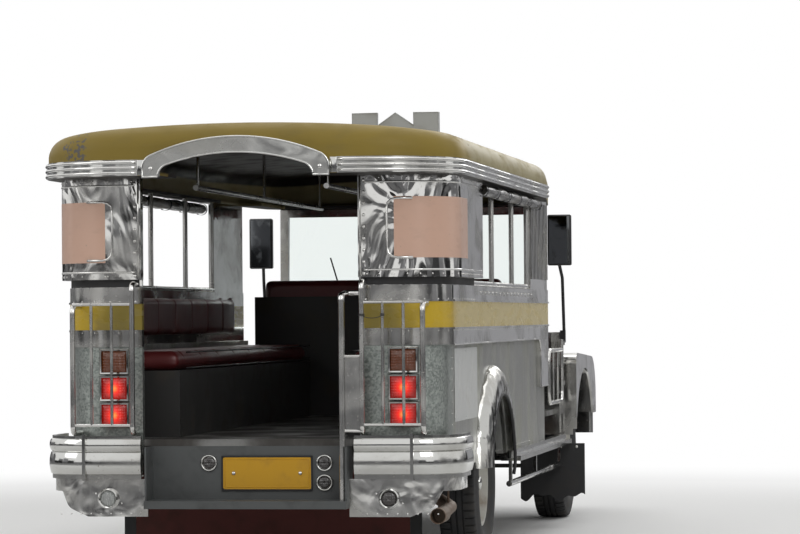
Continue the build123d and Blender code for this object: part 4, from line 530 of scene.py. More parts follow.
mirror_back = enamelled("mirror_back", (0.012, 0.012, 0.013), 0.3, 0.3, (0.04, 0.035, 0.03))
print("paints ready")

# %% [markdown]
# ## Rubber, floor sheet, vinyl and glass
# Tyres and flaps are matt with road dust in the low places. The floor is checkered sheet
# that feet have polished. Seat vinyl has a fine leather grain.

# %% Rubber and floor
def rubber(name, colour, dusty=(0.10, 0.09, 0.075)):
    """Matt rubber with a fine grain and road dust."""
    soft = Finish(name, colour, 0.8)
    dust = soft.between(soft.noise(11, detail=6), 0.42, 0.8)
    grain = soft.noise(220, detail=2)
    soft.feed(
        Base_Color=soft.blend(dust * 0.45, colour, dusty),
        Roughness=0.72 + dust * 0.2,
        Normal=soft.bump(grain, 0.0004),
    )
    return soft


tyre_rubber = rubber("tyre_rubber", (0.018, 0.018, 0.019))
flap_black = rubber("flap_black", (0.020, 0.020, 0.021), (0.06, 0.055, 0.05))
flap_red = rubber("flap_red", (0.085, 0.014, 0.010), (0.05, 0.035, 0.028))

floor_sheet = Finish("floor_sheet", (0.20, 0.20, 0.20), 0.45, 0.7)
trodden = floor_sheet.between(floor_sheet.noise(3.5, detail=6), 0.4, 0.7)
studs = floor_sheet.cells(42, (1, 1, 0.01), "SMOOTH_F1")
floor_sheet.feed(
    Base_Color=floor_sheet.blend(trodden, (0.07, 0.065, 0.06), (0.30, 0.30, 0.29)),
    Roughness=0.65 - trodden * 0.28,
    Normal=floor_sheet.bump(floor_sheet.between(studs, 0.5, 0.2), 0.0012),
)

# %% Vinyl and glass
def vinyl(name, colour, roughness=0.42):
    """Seat vinyl: a leather grain, soft creases, and paler places where it is rubbed."""
    hide = Finish(name, colour, roughness, 0.0, Coat_Weight=0.15, Coat_Roughness=0.3)
    grain = hide.cells(420, feature="SMOOTH_F1")
    creased = hide.noise(26, detail=5, distortion=1.2)
    rubbed = hide.between(hide.noise(4, detail=5), 0.45, 0.75)
    hide.feed(
        Base_Color=hide.blend(rubbed * 0.45, colour, tuple(min(1, 1.8 * c + 0.02) for c in colour)),
        Roughness=roughness + rubbed * 0.18,
        Normal=hide.bump(grain, 0.0004, hide.bump(creased, 0.0012)),
    )
    return hide


seat_vinyl = vinyl("seat_vinyl", (0.10, 0.012, 0.012))
curtain_vinyl = Finish("curtain_vinyl", (0.10, 0.09, 0.075), 0.30, 0.0, Coat_Weight=0.3, Coat_Roughness=0.15)
yellowed = curtain_vinyl.between(curtain_vinyl.noise(7, (1, 0.5, 1), detail=5), 0.35, 0.75)
crumpled = curtain_vinyl.noise(24, (1, 0.45, 1), detail=4, distortion=1.6)
curtain_vinyl.feed(
    Base_Color=curtain_vinyl.blend(yellowed, (0.035, 0.031, 0.026), (0.17, 0.15, 0.12)),
    Roughness=0.20 + yellowed * 0.25,
    Normal=curtain_vinyl.bump(crumpled, 0.004),
)
clear_glass = Finish("clear_glass", (0.9, 0.95, 0.93), 0.03, 0.0, Transmission_Weight=1.0, IOR=1.45)
glass_dust = clear_glass.between(clear_glass.noise(9, detail=6), 0.45, 0.8)
clear_glass.feed(Roughness=0.02 + glass_dust * 0.10)
lamp_glass = Finish("lamp_glass", (0.78, 0.80, 0.78), 0.08, 0.0, Transmission_Weight=0.6, IOR=1.5)
prisms = lamp_glass.node("ShaderNodeTexWave", {"bands_direction": "X"}, {"Vector": lamp_glass.place(), "Scale": 30})
lamp_glass.feed(Roughness=0.06 + lamp_glass.noise(12, detail=4) * 0.12, Normal=lamp_glass.bump(prisms, 0.002))
print("soft finishes ready")

# %% [markdown]
# ## Dress the CAD nodes
# A CAD node whose shape is right keeps its mesh and gets a better material by name.

# %% Node materials
WHEELS = ("front_left", "front_right", "rear_left", "rear_right")
DRESSED = (
    (chassis_black, "chassis_frame fuel_tank seat_frames"),
    (spring_steel, "leaf_springs"),
    (forged_steel, "front_axle rear_axle knuckle_left knuckle_right tie_rod propeller_shaft"),
    (engine_iron, "engine_block"),
    (exhaust_steel, "exhaust"),
    (floor_sheet, "floor_pan"),
    (riser_grey, "rear_step"),
    (galvanised, "lower_body_panels"),
    (bright_sheet, "belt_rails cowl windshield_frame hood front_fenders"),
    (band_paint, "belt_band"),
    (quarter_sheet, "upper_side_panels"),
    (roof_paint, "roof_shell"),
    (visor_sheet, "rear_arch_visor"),
    (chrome_trim, "eave_mouldings rear_bumper running_boards grille front_lamps front_bumper"),
    (stainless_tube, "window_bars lamp_guards half_door_left half_door_right"),
    (apron_sheet, "rear_aprons"),
    (fender_sheet, "rear_fenders"),
    (clear_glass, "windshield_glass"),
    (mirror_back, "mirrors"),
    (grey_paint, "signboard"),
    (seat_vinyl, "bench_cushions cab_seats"),
    (curtain_vinyl, "rolled_curtains"),
    (lamp_glass, "rear_lamps"),
    (black_plastic, "steering_wheel cab_controls"),
    (plate_enamel, "number_plate"),
    (flap_black, "mudflaps"),
    (wheel_white, " ".join(f"rim_{corner}" for corner in WHEELS)),
    (tyre_rubber, " ".join(f"tyre_{corner}" for corner in WHEELS)),
)
for finish, nodes in DRESSED:
    for node in nodes.split():
        for place in bpy.data.objects[node].material_slots:
            place.material = finish.material
print(sum(len(nodes.split()) for _, nodes in DRESSED), "nodes dressed")

# %% [markdown]
# ## Readings from the CAD
# The small pieces sit on the CAD solids, so their places are read from the frame and not
# typed again. A node of several solids is split into lumps, and each lump gives its box.

# %% Boxes of a node's solids
def solid_boxes(node):
    """The (low corner, high corner) of each separate solid of a node, sorted by place."""
    mesh = bmesh.new()
    mesh.from_mesh(bpy.data.objects[node].data)
    bmesh.ops.remove_doubles(mesh, verts=mesh.verts, dist=1e-5)
    left = set(mesh.verts)
    boxes = []
    while left:
        fresh = [left.pop()]
        lump = list(fresh)
        while fresh:
            for edge in fresh.pop().link_edges:
                for vertex in left.intersection(edge.verts):
                    left.discard(vertex)
                    fresh.append(vertex)
                    lump.append(vertex)
        spans = [[vertex.co[axis] for vertex in lump] for axis in range(3)]
        boxes.append((Vector(map(min, spans)), Vector(map(max, spans))))
    mesh.free()
    return sorted(boxes, key=lambda pair: tuple(round(value, 3) for value in pair[0]))


print(len(solid_boxes("rear_lamps")), "rear lamp solids")

# %% [markdown]
# ## Meshes from rings and lines
# Most of the small pieces are a row of points carried along a line or turned about an axis.

# %% Grid, tube and dome meshes
def grid_faces(mesh, rows, close_rows=False, close_columns=False):
    """Joins rows of points into quads; a closed grid goes round."""
    verts = [[mesh.verts.new(point) for point in row] for row in rows]
    tall, wide = len(verts), len(verts[0])
    for i in range(tall if close_rows else tall - 1):
        for j in range(wide if close_columns else wide - 1):
            a, b = verts[i], verts[(i + 1) % tall]
            mesh.faces.new((a[j], a[(j + 1) % wide], b[(j + 1) % wide], b[j]))
    return verts


def outline_of(grid):
    """The outline of a grid of vertices, once round."""
    return grid[0] + [row[-1] for row in grid[1:-1]] + grid[-1][::-1] + [row[0] for row in grid[-2:0:-1]]


def join_outlines(mesh, low, high):
    """The wall between two outlines of as many vertices."""
    for k in range(len(low)):
        after = (k + 1) % len(low)
        mesh.faces.new((low[k], low[after], high[after], high[k]))


def tube_along(mesh, points, radius, sides=8, closed=False):
    """A round tube through points, with flat ends where it is open."""
    points = [Vector(point) for point in points]
    rings = []
    up = Vector((0, 0, 1))
    for i, point in enumerate(points):
        before = points[i - 1] if i or closed else point
        after = points[(i + 1) % len(points)] if i < len(points) - 1 or closed else point
        way = (after - before).normalized()
        if abs(way.dot(up)) > 0.95:
            up = Vector((0, 1, 0)) if abs(way.y) < 0.9 else Vector((1, 0, 0))
        side = way.cross(up).normalized()
        rise = side.cross(way)
        turns = [2 * math.pi * k / sides for k in range(sides)]
        rings.append([point + radius * (math.cos(t) * side + math.sin(t) * rise) for t in turns])
    verts = grid_faces(mesh, rings, close_rows=closed, close_columns=True)
    if not closed:
        mesh.faces.new(verts[0])
        mesh.faces.new(verts[-1])


def dome(mesh, at, normal, radius, height, sides=8, rings=3):
    """A rivet or screw head: a low dome on a surface, with a flat foot."""
    normal = Vector(normal).normalized()
    turn = normal.to_track_quat("Z", "Y")
    rows = []
    for ring in range(rings):
        lift = math.radians(90 * ring / rings)
        reach = radius * math.cos(lift)
        level = height * math.sin(lift)
        steps = [2 * math.pi * k / sides for k in range(sides)]
        rows.append([Vector(at) + turn @ Vector((reach * math.cos(s), reach * math.sin(s), level)) for s in steps])
    verts = grid_faces(mesh, rows, close_columns=True)
    top = mesh.verts.new(Vector(at) + turn @ Vector((0, 0, height)))
    for k in range(sides):
        mesh.faces.new((verts[-1][k], verts[-1][(k + 1) % sides], top))
    mesh.faces.new(verts[0])


def turned(mesh, profile, steps, axis_at, axis="X", out=1):
    """Turns a closed profile of (along, radius) about a line through axis_at."""
    rows = []
    for step in range(steps):
        angle = 2 * math.pi * step / steps
        row = []
        for along, radius in profile:
            across, high = radius * math.cos(angle), radius * math.sin(angle)
            spot = (out * along, across, high) if axis == "X" else (across, out * along, high)
            row.append(Vector(axis_at) + Vector(spot))
        rows.append(row)
    return grid_faces(mesh, rows, close_rows=True, close_columns=True)


def plate(mesh, corners, normal, thickness, nx=1, ny=1, lift=None):
    """A thin closed plate over four corners; lift(u, v) raises its face along the normal."""
    a, b, c, d = (Vector(corner) for corner in corners)
    normal = Vector(normal).normalized()
    layers = []
    for side in (0.0, thickness):
        rows = []
        for i in range(ny + 1):
            v = i / ny
            row = []
            for j in range(nx + 1):
                u = j / nx
                spot = a.lerp(b, u).lerp(d.lerp(c, u), v)
                row.append(spot + normal * (side + (lift(u, v) if lift else 0.0)))
            rows.append(row)
        layers.append(grid_faces(mesh, rows))
    join_outlines(mesh, outline_of(layers[0]), outline_of(layers[1]))


# %% Lines round the body's rear corners
def corner_line(half, rear_y, radius, x_from, y_to, side, step=0.02):
    """Points and outward normals along the outline of a panel, from the rear face round to the side."""
    spots = []
    x = x_from
    while x < half - radius - 1e-6:
        spots.append((Vector((side * x, rear_y, 0)), Vector((0, 1, 0))))
        x += step
    steps = max(4, int(radius * math.pi / 2 / step))
    centre = Vector((side * (half - radius), rear_y - radius, 0))
    for k in range(steps + 1):
        angle = math.pi / 2 * k / steps
        normal = Vector((side * math.sin(angle), math.cos(angle), 0))
        spots.append((centre + radius * normal, normal))
    y = rear_y - radius - step
    while y > y_to:
        spots.append((Vector((side * half, y, 0)), Vector((side, 0, 0))))
        y -= step
    spots.append((Vector((side * half, y_to, 0)), Vector((side, 0, 0))))
    return spots


def wrapped_strip(mesh, spots, low, high, proud, ny=1):
    """A thin closed strip that follows corner_line between two heights."""
    rows_out, rows_in = [], []
    for i in range(ny + 1):
        level = Vector((0, 0, low + (high - low) * i / ny))
        rows_out.append([spot + normal * proud + level for spot, normal in spots])
        rows_in.append([spot + normal * 0.0002 + level for spot, normal in spots])
    ring = rows_out + rows_in[::-1]
    verts = grid_faces(mesh, ring, close_rows=True)
    mesh.faces.new([row[0] for row in verts])
    mesh.faces.new([row[-1] for row in verts])


print("mesh helpers ready")

# %% [markdown]
# ## Tyres
# The tyres are crossply with a road pattern: three grooves run round, and short slots cut
# both shoulders between the blocks. The profile is turned in uneven steps, a narrow one in
# each slot, and the slot's points drop below the tread.

# %% Tyre meshes
TYRE_R = 0.375
PITCHES = 58
GROOVE = 0.008
SLOT = ((0.0, False), (0.03, True), (0.20, True), (0.23, False), (0.50, False), (0.77, False))
SIDEWALL = [(0.0995, TYRE_R - 0.082), (0.0985, 0.283), (0.0992, 0.279), (0.0988, 0.275), (0.0950, 0.262)]
SIDEWALL += [(0.0880, 0.246), (0.0800, 0.232), (0.0758, 0.222), (0.0762, 0.216), (0.0740, 0.2115)]
SIDEWALL += [(0.0690, 0.2095), (0.0670, 0.2000), (0.0660, 0.1970)]


def tyre_profile(deep):
    """Half a section from the crown to the bead as (across, radius); deep is in a shoulder's slot."""
    floor_r = TYRE_R - GROOVE
    shoulder_r = floor_r - 0.002 if deep else TYRE_R - 0.003
    block = (floor_r, floor_r - 0.009, TYRE_R - 0.026) if deep else (TYRE_R - 0.0012, TYRE_R - 0.010, TYRE_R - 0.020)
    points = [(0.0, floor_r), (0.0035, floor_r), (0.0045, TYRE_R), (0.0260, TYRE_R - 0.0005)]
    points += [(0.0270, floor_r), (0.0330, floor_r), (0.0340, TYRE_R - 0.001)]
    points += [(0.0400, block[0]), (0.0600, shoulder_r + 0.001), (0.0760, shoulder_r - 0.002), (0.0840, block[1])]
    points += [(0.0880, block[2]), (0.0885, TYRE_R - 0.034), (0.0935, TYRE_R - 0.050), (0.0975, TYRE_R - 0.066)]
    return points + SIDEWALL


def tyre_mesh(centre):
    """Both halves of the section, turned; one shoulder's slots stand half a pitch on."""
    halves = {deep: tyre_profile(deep) for deep in (False, True)}
    rows = []
    for pitch in range(PITCHES):
        for share, deep in SLOT:
            angle = 2 * math.pi * (pitch + share) / PITCHES
            row = []
            for x, radius in [(-x, r) for x, r in reversed(halves[deep])] + halves[deep][1:]:
                turn = angle + (math.pi / PITCHES if x > 0 else 0.0)
                row.append(Vector(centre) + Vector((x, radius * math.cos(turn), radius * math.sin(turn))))
            rows.append(row)
    mesh = bmesh.new()
    grid_faces(mesh, rows, close_rows=True, close_columns=True)
    return mesh


for corner in WHEELS:
    low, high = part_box(f"tyre_{corner}")
    mesh = tyre_mesh((low + high) / 2)
    tyre = finish_mesh(f"road_tyre_{corner}", mesh, tyre_rubber, f"wheel_{corner}", sharp=38)
    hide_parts(f"tyre_{corner}")
print("tyre quads", len(tyre.data.polygons))

# %% [markdown]
# ## Wheel nuts and caps
# Six nuts hold each rim to its drum. A pressed cap covers the hub, and a valve stands
# through the rim. They all turn with the wheel.

# %% Wheel trim
NUT_RING = 0.068
NUT_R = 0.011
NUT_COUNT = 6
DISC_FACE = 0.024
HUB_FACE = 0.052
CAP_PROFILE = ((0.0, 0.0001), (0.0, 0.036), (0.006, 0.0365), (0.014, 0.034))
CAP_PROFILE += ((0.019, 0.026), (0.021, 0.012), (0.0215, 0.0001))
for corner in WHEELS:
    low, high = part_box(f"rim_{corner}")
    centre = (low + high) / 2
    out = 1 if corner.endswith("left") else -1
    nuts = bmesh.new()
    for k in range(NUT_COUNT):
        angle = 2 * math.pi * k / NUT_COUNT
        spot = centre + Vector((out * DISC_FACE, NUT_RING * math.cos(angle), NUT_RING * math.sin(angle)))
        turn = Matrix.Rotation(math.pi / 2, 4, "Y")
        at = Matrix.Translation(spot + Vector((out * 0.008, 0, 0))) @ turn
        bmesh.ops.create_cone(nuts, cap_ends=True, segments=6, radius1=NUT_R, radius2=NUT_R, depth=0.016, matrix=at)
        stud = Matrix.Translation(spot + Vector((out * 0.019, 0, 0))) @ turn
        bmesh.ops.create_cone(nuts, cap_ends=True, segments=10, radius1=0.005, radius2=0.005, depth=0.012, matrix=stud)
    bevel_all(nuts, 0.0012, 1)
    turned(nuts, [(HUB_FACE + along, radius) for along, radius in CAP_PROFILE], 28, centre, out=out)
    fitted = finish_mesh(f"wheel_nuts_{corner}", nuts, chrome_trim, f"wheel_{corner}", sharp=35)
    stem = bmesh.new()
    root = centre + Vector((out * 0.058, 0, 0.184))
    tube_along(stem, [root, root + Vector((out * 0.010, 0, -0.006)), root + Vector((out * 0.030, 0, -0.014))], 0.0035)
    valve = finish_mesh(f"tyre_valve_{corner}", stem, black_plastic, f"wheel_{corner}")
print("wheels dressed")

# %% [markdown]
# ## Rear lamps
# Each unit is a black tray with a chrome bezel, and its lens is a shallow pillow with a grid
# of prisms on its face. The red ones are lit: their glow has a hot spot where the bulb is.

# %% Lamp finishes
LAMP_CENTRES = {-1: -0.688, 1: 0.612}
LENS_Y = 2.79


def lit_lens(name, colour, glow, strength, centre_x, rows_z, reach):
    """A coloured lens whose glow fades with the distance from its bulbs."""
    lens = Finish(name, colour, 0.12, 0.0, Coat_Weight=0.8, Coat_Roughness=0.05)
    x = lens.axis("X") - centre_x
    nearest = None
    for z in rows_z:
        up = lens.axis("Z") - z
        away = (x * x + up * up).math("SQRT")
        nearest = away if nearest is None else nearest.math("MINIMUM", away)
    hot = lens.between(nearest, reach, 0.0)
    core = lens.between(nearest, reach * 0.42, 0.0)
    burning = lens.blend(core, glow, (1.0, 0.30, 0.06))
    lens.feed(Emission_Color=lens.blend(hot, tuple(0.10 * c for c in glow), burning))
    lens.shader.inputs["Emission Strength"].default_value = strength
    grid = lens.node("ShaderNodeTexWave", {"bands_direction": "X"}, {"Vector": lens.place(), "Scale": 26})
    grid_up = lens.node("ShaderNodeTexWave", {"bands_direction": "Z"}, {"Vector": lens.place(), "Scale": 26})
    lens.feed(Normal=lens.bump(grid + grid_up, 0.0012), Roughness=0.10 + lens.noise(20, detail=4) * 0.15)
    return lens


ROWS_Z = [0.758, 0.877]
SIDE_NAMES = {-1: "right", 1: "left"}
red_lens = {}
for side, x in LAMP_CENTRES.items():
    name = f"red_lens_{SIDE_NAMES[side]}"
    red_lens[side] = lit_lens(name, (0.30, 0.006, 0.004), (1.0, 0.020, 0.008), 1.15, x, ROWS_Z, 0.058)
amber_lens = lit_lens("amber_lens", (0.16, 0.040, 0.010), (0.30, 0.07, 0.01), 0.02, 0.0, [0.996], 0.05)
dark_lens = lit_lens("dark_lens", (0.035, 0.030, 0.028), (0.02, 0.02, 0.02), 0.01, 0.0, [0.392], 0.05)

# %% Lamp pieces
def pillow(mesh, low, high, y, crown, cells=10):
    """A lens: a plate on the x-z plane, crowned towards +y, with a straight rim."""
    rows = []
    for i in range(cells + 1):
        row = []
        for j in range(cells + 1):
            u, v = j / cells, i / cells
            edge = min(u, 1 - u, v, 1 - v) * 2
            rise = crown * (1 - (1 - min(1.0, edge * 1.6)) ** 2)
            row.append(Vector((low[0] + (high[0] - low[0]) * u, y + rise, low[1] + (high[1] - low[1]) * v)))
        rows.append(row)
    front = grid_faces(mesh, rows)
    back = grid_faces(mesh, [[Vector((p.x, y - 0.010, p.z)) for p in row] for row in rows])
    join_outlines(mesh, outline_of(front), outline_of(back))


BEZEL = 0.009
bezels = bmesh.new()
trays = bmesh.new()
lens_meshes = {}
for low, high in solid_boxes("rear_lamps"):
    centre = (low + high) / 2
    side = 1 if centre.x > 0 else -1
    if centre.z < 0.5:
        radius = (high.x - low.x) / 2
        ring = [(0.0, radius - 0.001), (0.020, radius - 0.001), (0.025, radius - 0.006)]
        ring += [(0.020, radius - 0.011), (0.0, radius - 0.011)]
        turned(bezels, ring, 40, (centre.x, low.y, centre.z), axis="Y")
        bowl = [(0.0, 0.0001), (0.006, 0.0001), (0.006, radius - 0.0115), (0.0, radius - 0.0115)]
        turned(trays, bowl, 32, (centre.x, low.y, centre.z), axis="Y")
        lens = bmesh.new()
        dish = [(0.008, 0.0001), (0.0245, 0.0001), (0.0235, 0.012), (0.0205, 0.023)]
        dish += [(0.0165, radius - 0.0120), (0.008, radius - 0.0120)]
        turned(lens, dish, 40, (centre.x, low.y, centre.z), axis="Y")
        lens_meshes[f"round_lens_{SIDE_NAMES[side]}"] = (lens, lamp_glass if side > 0 else dark_lens)
        for turn_by in (20, 200):
            swing = math.radians(turn_by)
            spot = Vector((centre.x + 0.062 * math.cos(swing), low.y, centre.z + 0.062 * math.sin(swing)))
            dome(bezels, spot, (0, 1, 0), 0.005, 0.003)
        continue
    frame_low, frame_high = (low.x, low.z + 0.001), (high.x, high.z - 0.001)
    outer = [Vector((frame_low[0], 0, frame_low[1])), Vector((frame_high[0], 0, frame_low[1]))]
    outer += [Vector((frame_high[0], 0, frame_high[1])), Vector((frame_low[0], 0, frame_high[1]))]
    steps_in = [(0.0, low.y + 0.030), (0.0, LENS_Y - 0.008), (0.003, LENS_Y - 0.004)]
    steps_in += [(BEZEL, LENS_Y - 0.005), (BEZEL, low.y + 0.030)]
    rows = []
    for shrink, y in steps_in:
        row = []
        for corner in outer:
            in_x, in_z = math.copysign(shrink, centre.x - corner.x), math.copysign(shrink, centre.z - corner.z)
            row.append(corner + Vector((in_x, 0, in_z)) + Vector((0, y, 0)))
        rows.append(row)
    grid_faces(bezels, rows, close_rows=True, close_columns=True)
    box_mesh((low.x + 0.004, low.y, low.z + 0.005), (high.x - 0.004, LENS_Y - 0.034, high.z - 0.005), trays)
    lens = bmesh.new()
    inset = BEZEL + 0.0004
    pillow(lens, (low.x + inset, low.z + inset), (high.x - inset, high.z - inset), LENS_Y - 0.012, 0.0115)
    row_name = "top" if centre.z > 0.95 else "middle" if centre.z > 0.85 else "bottom"
    glass = amber_lens if row_name == "top" else red_lens[side]
    lens_meshes[f"tail_lens_{row_name}_{SIDE_NAMES[side]}"] = (lens, glass)
lamp_bezels = finish_mesh("rear_lamp_bezels", bezels, chrome_trim, sharp=40)
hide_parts("rear_lamps")
lamp_trays = finish_mesh("rear_lamp_trays", trays, black_plastic, smooth=False)
for name, (mesh, glass) in lens_meshes.items():
    lens = finish_mesh(name, mesh, glass)
    "lamp_glass" if glass in (lamp_glass, dark_lens) else "lamp_red"
print(len(lens_meshes), "rear lenses")

# %% [markdown]
# ## Rolled curtains
# Rain curtains of clear vinyl are rolled up under each eave and tied. A roll is one sheet,
# wound in a spiral, with its free edge hanging a little between the ties.

# %% Rolled sheets and their ties
CURTAIN_DROP = 0.62
CURTAIN_T = 0.0016
ROLL_CORE = 0.009
TIE_COUNT = 6
TURNS_MORE = 1.21  # the ties pinch the roll, so that it has more turns than an even spiral


def rolled_sheet(low, high, drop, seed):
    """A spiral roll along y inside a box, as a closed sheet CURTAIN_T thick."""
    centre = (low + high) / 2
    outer = (high.x - low.x) / 2 - 0.004
    turns = TURNS_MORE * drop / (math.pi * (outer + ROLL_CORE))
    count = int(turns * 22)
    stations = 90
    rows = []
    for i in range(stations + 1):
        y = low.y + 0.004 + (high.y - low.y - 0.008) * i / stations
        slack = 0.5 - 0.5 * math.cos(2 * math.pi * (TIE_COUNT - 1) * i / stations)
        wave = 0.5 * math.sin(11 * i / stations + seed) + 0.5 * math.sin(29 * i / stations + 2 * seed)
        row = []
        for k in range(count + 1):
            share = k / count
            angle = 2 * math.pi * turns * share + 0.25 * wave * share
            radius = ROLL_CORE + (outer - ROLL_CORE) * share
            pinch = 0.0045 * (1 - slack) * share
            ripple = 0.0016 * slack * share * math.sin(3 * angle + 17 * i / stations + seed)
            radius = radius - pinch + ripple - 0.0016
            row.append((centre.x + radius * math.cos(angle), y, centre.z + radius * math.sin(angle) * 0.96, angle))
        rows.append(row)
    mesh = bmesh.new()
    faces = []
    for thick in (CURTAIN_T, 0.0):
        spots = [[(x - math.cos(t) * thick, y, z - math.sin(t) * thick) for x, y, z, t in row] for row in rows]
        faces.append(grid_faces(mesh, spots))
    join_outlines(mesh, outline_of(faces[0]), outline_of(faces[1]))
    return mesh


strap_cloth = Finish("strap_cloth", (0.030, 0.030, 0.034), 0.85)
strap_weave = strap_cloth.node(
    "ShaderNodeTexWave", {"bands_direction": "Y"}, {"Vector": strap_cloth.place(), "Scale": 130}
)
strap_cloth.feed(Normal=strap_cloth.bump(strap_weave, 0.0006), Roughness=0.78 + strap_cloth.noise(30) * 0.2)
for (low, high), side, seed in zip(solid_boxes("rolled_curtains"), ("right", "left"), (1.3, 4.1)):
    sheet = finish_mesh(f"rolled_curtain_{side}", rolled_sheet(low, high, CURTAIN_DROP, seed), curtain_vinyl)
    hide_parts("rolled_curtains")
    ties = bmesh.new()
    centre = (low + high) / 2
    reach = (high.x - low.x) / 2 - 0.0062
    for i in range(TIE_COUNT):
        y = low.y + 0.010 + (high.y - low.y - 0.020) * i / (TIE_COUNT - 1)
        band = [(-0.009, reach - 0.0002), (0.009, reach - 0.0002), (0.009, reach + 0.0012), (-0.009, reach + 0.0012)]
        ring = turned(ties, band, 30, (centre.x, y, centre.z), axis="Y")
        for row in ring:
            for vertex in row:
                vertex.co.z = centre.z + (vertex.co.z - centre.z) * 0.97
        knot = Vector((centre.x + (0.6 if side == "left" else -0.6) * reach, y, centre.z - 0.8 * reach))
        dome(ties, knot, (0, 0, -1), 0.006, 0.004)
    tied = finish_mesh(f"curtain_ties_{side}", ties, strap_cloth)
print("curtains rolled")

# %% [markdown]
# ## Cushions
# Each bench has one long foam pad and a thin back pad, and the cab has two seats. The pads
# are swollen by a short cloth simulation from a slightly smaller block, held to the space of
# the CAD solid, and the sewn channels are pressed in afterwards.

# %% Padded pieces
PAD_FRAMES = 20


def swollen(name, low, high, voxel, cap):
    """A pad inside a box: a rounded block, remeshed, and blown up by a cloth simulation."""
    half_thin = 0.5 * min(high[i] - low[i] for i in range(3))
    inset = min(cap, half_thin - 0.012)
    mesh = box_mesh(low + Vector([inset] * 3), high - Vector([inset] * 3))
    bevel_all(mesh, 0.6 * (half_thin - inset) + 0.004, 3)
    pad = finish_mesh(name, mesh, seat_vinyl)
    for other in bpy.context.selected_objects:
        other.select_set(False)
    bpy.context.view_layer.objects.active = pad
    pad.select_set(True)
    remesh = pad.modifiers.new("remesh", "REMESH")
    remesh.mode = "VOXEL"
    remesh.voxel_size = voxel
    bpy.ops.object.modifier_apply(modifier=remesh.name)
    rest = [vertex.co.copy() for vertex in pad.data.vertices]
    cloth = pad.modifiers.new("cloth", "CLOTH")
    cloth.settings.use_pressure = True
    cloth.settings.uniform_pressure_force = 4.0
    cloth.settings.tension_stiffness = 12
    cloth.settings.compression_stiffness = 12
    cloth.settings.effector_weights.gravity = 0
    cloth.collision_settings.use_collision = False
    cloth.collision_settings.use_self_collision = False
    for frame_number in range(1, PAD_FRAMES + 1):
        scene.frame_set(frame_number)
    bpy.ops.object.modifier_apply(modifier=cloth.name)
    scene.frame_set(1)
    reach = Vector([inset - 0.0008] * 3)
    bottom, top = low + Vector([0.0006] * 3), high - Vector([0.0006] * 3)
    for vertex, start in zip(pad.data.vertices, rest):
        moved = vertex.co - start
        for axis in range(3):
            span = max(-reach[axis], min(reach[axis], moved[axis]))
            vertex.co[axis] = min(top[axis], max(bottom[axis], start[axis] + span))
    subdivide = pad.modifiers.new("subdivide", "SUBSURF")
    subdivide.levels = subdivide.render_levels = 1
    bpy.ops.object.modifier_apply(modifier=subdivide.name)
    return pad


def press(pad, lines, axis, depth, width, face_axis, face_side):
    """Sewn channels: points near a line across the pad go in, on one face."""
    levels = [vertex.co[face_axis] for vertex in pad.data.vertices]
    bottom, top = min(levels), max(levels)
    middle = (bottom + top) / 2
    for vertex in pad.data.vertices:
        depth_here = (vertex.co[face_axis] - middle) * face_side
        if depth_here <= 0:
            continue
        share = min(1.0, depth_here / (0.5 * (top - bottom)))
        for line in lines:
            off = (vertex.co[axis] - line) / width
            if abs(off) < 3:
                vertex.co[face_axis] -= face_side * depth * share * math.exp(-off * off)


def mirrored(name, source):
    """The same pad on the other side of the vehicle."""
    data = source.data.copy()
    data.name = name
    for vertex in data.vertices:
        vertex.co.x = -vertex.co.x
    data.flip_normals()
    twin = bpy.data.objects.new(name, data)
    scene.collection.objects.link(twin)
    return twin


SEAM_STEP = 0.36
bench_low, bench_high = solid_boxes("bench_cushions")[2]
back_low, back_high = solid_boxes("bench_cushions")[3]
bench_pad = swollen("bench_pad_left", bench_low, bench_high, 0.013, 0.014)
back_pad = swollen("bench_back_left", back_low, back_high, 0.012, 0.012)
seams = [bench_low.y + SEAM_STEP * k for k in range(1, 9)]
press(bench_pad, seams, 1, 0.010, 0.010, 2, 1)
press(back_pad, seams, 1, 0.007, 0.009, 0, -1)
pads = [bench_pad, back_pad]
for name, source in (("bench_pad_right", bench_pad), ("bench_back_right", back_pad)):
    twin = mirrored(name, source)
    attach(twin, "body")
    pads.append(twin)
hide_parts("bench_cushions")
cab_names = ("cab_seat_right", "cab_back_right", "cab_seat_left", "cab_back_left")
cab_boxes = dict(zip(cab_names, solid_boxes("cab_seats")))
for part, pressed_face in (("seat", (2, 1)), ("back", (1, -1))):
    low, high = cab_boxes[f"cab_{part}_left"]
    pad = swollen(f"cab_{part}_left", low, high, 0.010, 0.016)
    press(pad, [low.x + (high.x - low.x) * k / 5 for k in range(1, 5)], 0, 0.009, 0.009, *pressed_face)
    if part == "seat":
        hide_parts("cab_seats")
    twin = mirrored(f"cab_{part}_right", pad)
    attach(twin, "body")
    pads += [pad, twin]
for pad in pads:
    pad.data.shade_smooth()
print("pads:", {pad.name: len(pad.data.polygons) for pad in pads})

# %% Piping along the cushions
piping = bmesh.new()
PIPE_R = 0.004
for side in (-1, 1):
    inner_x = side * (bench_low.x + 0.004)
    for level in (bench_low.z + 0.010, bench_high.z - 0.008):
        line = [(inner_x, bench_low.y + 0.03 + 0.1 * k, level) for k in range(30)]
        tube_along(piping, line, PIPE_R, 6)
piped = finish_mesh("bench_piping", piping, black_plastic)
print("piping sewn")

# %% [markdown]
# ## Stickers, mouldings and the placard
# The two upper rear corners carry a vinyl sticker that wraps round the bend, and a D-shaped
# moulding is pressed into the sheet beside it. They are blank here. A white placard is
# screwed to the side ahead of the rear corner.

# %% Panel outlines
PANEL = dict(half=0.911, rear_y=2.770, radius=0.260)
NECK = dict(half=0.869, rear_y=2.750, radius=0.240)
BELT = dict(half=0.874, rear_y=2.755, radius=0.240)
LOWER = dict(half=0.849, rear_y=2.750, radius=0.220)

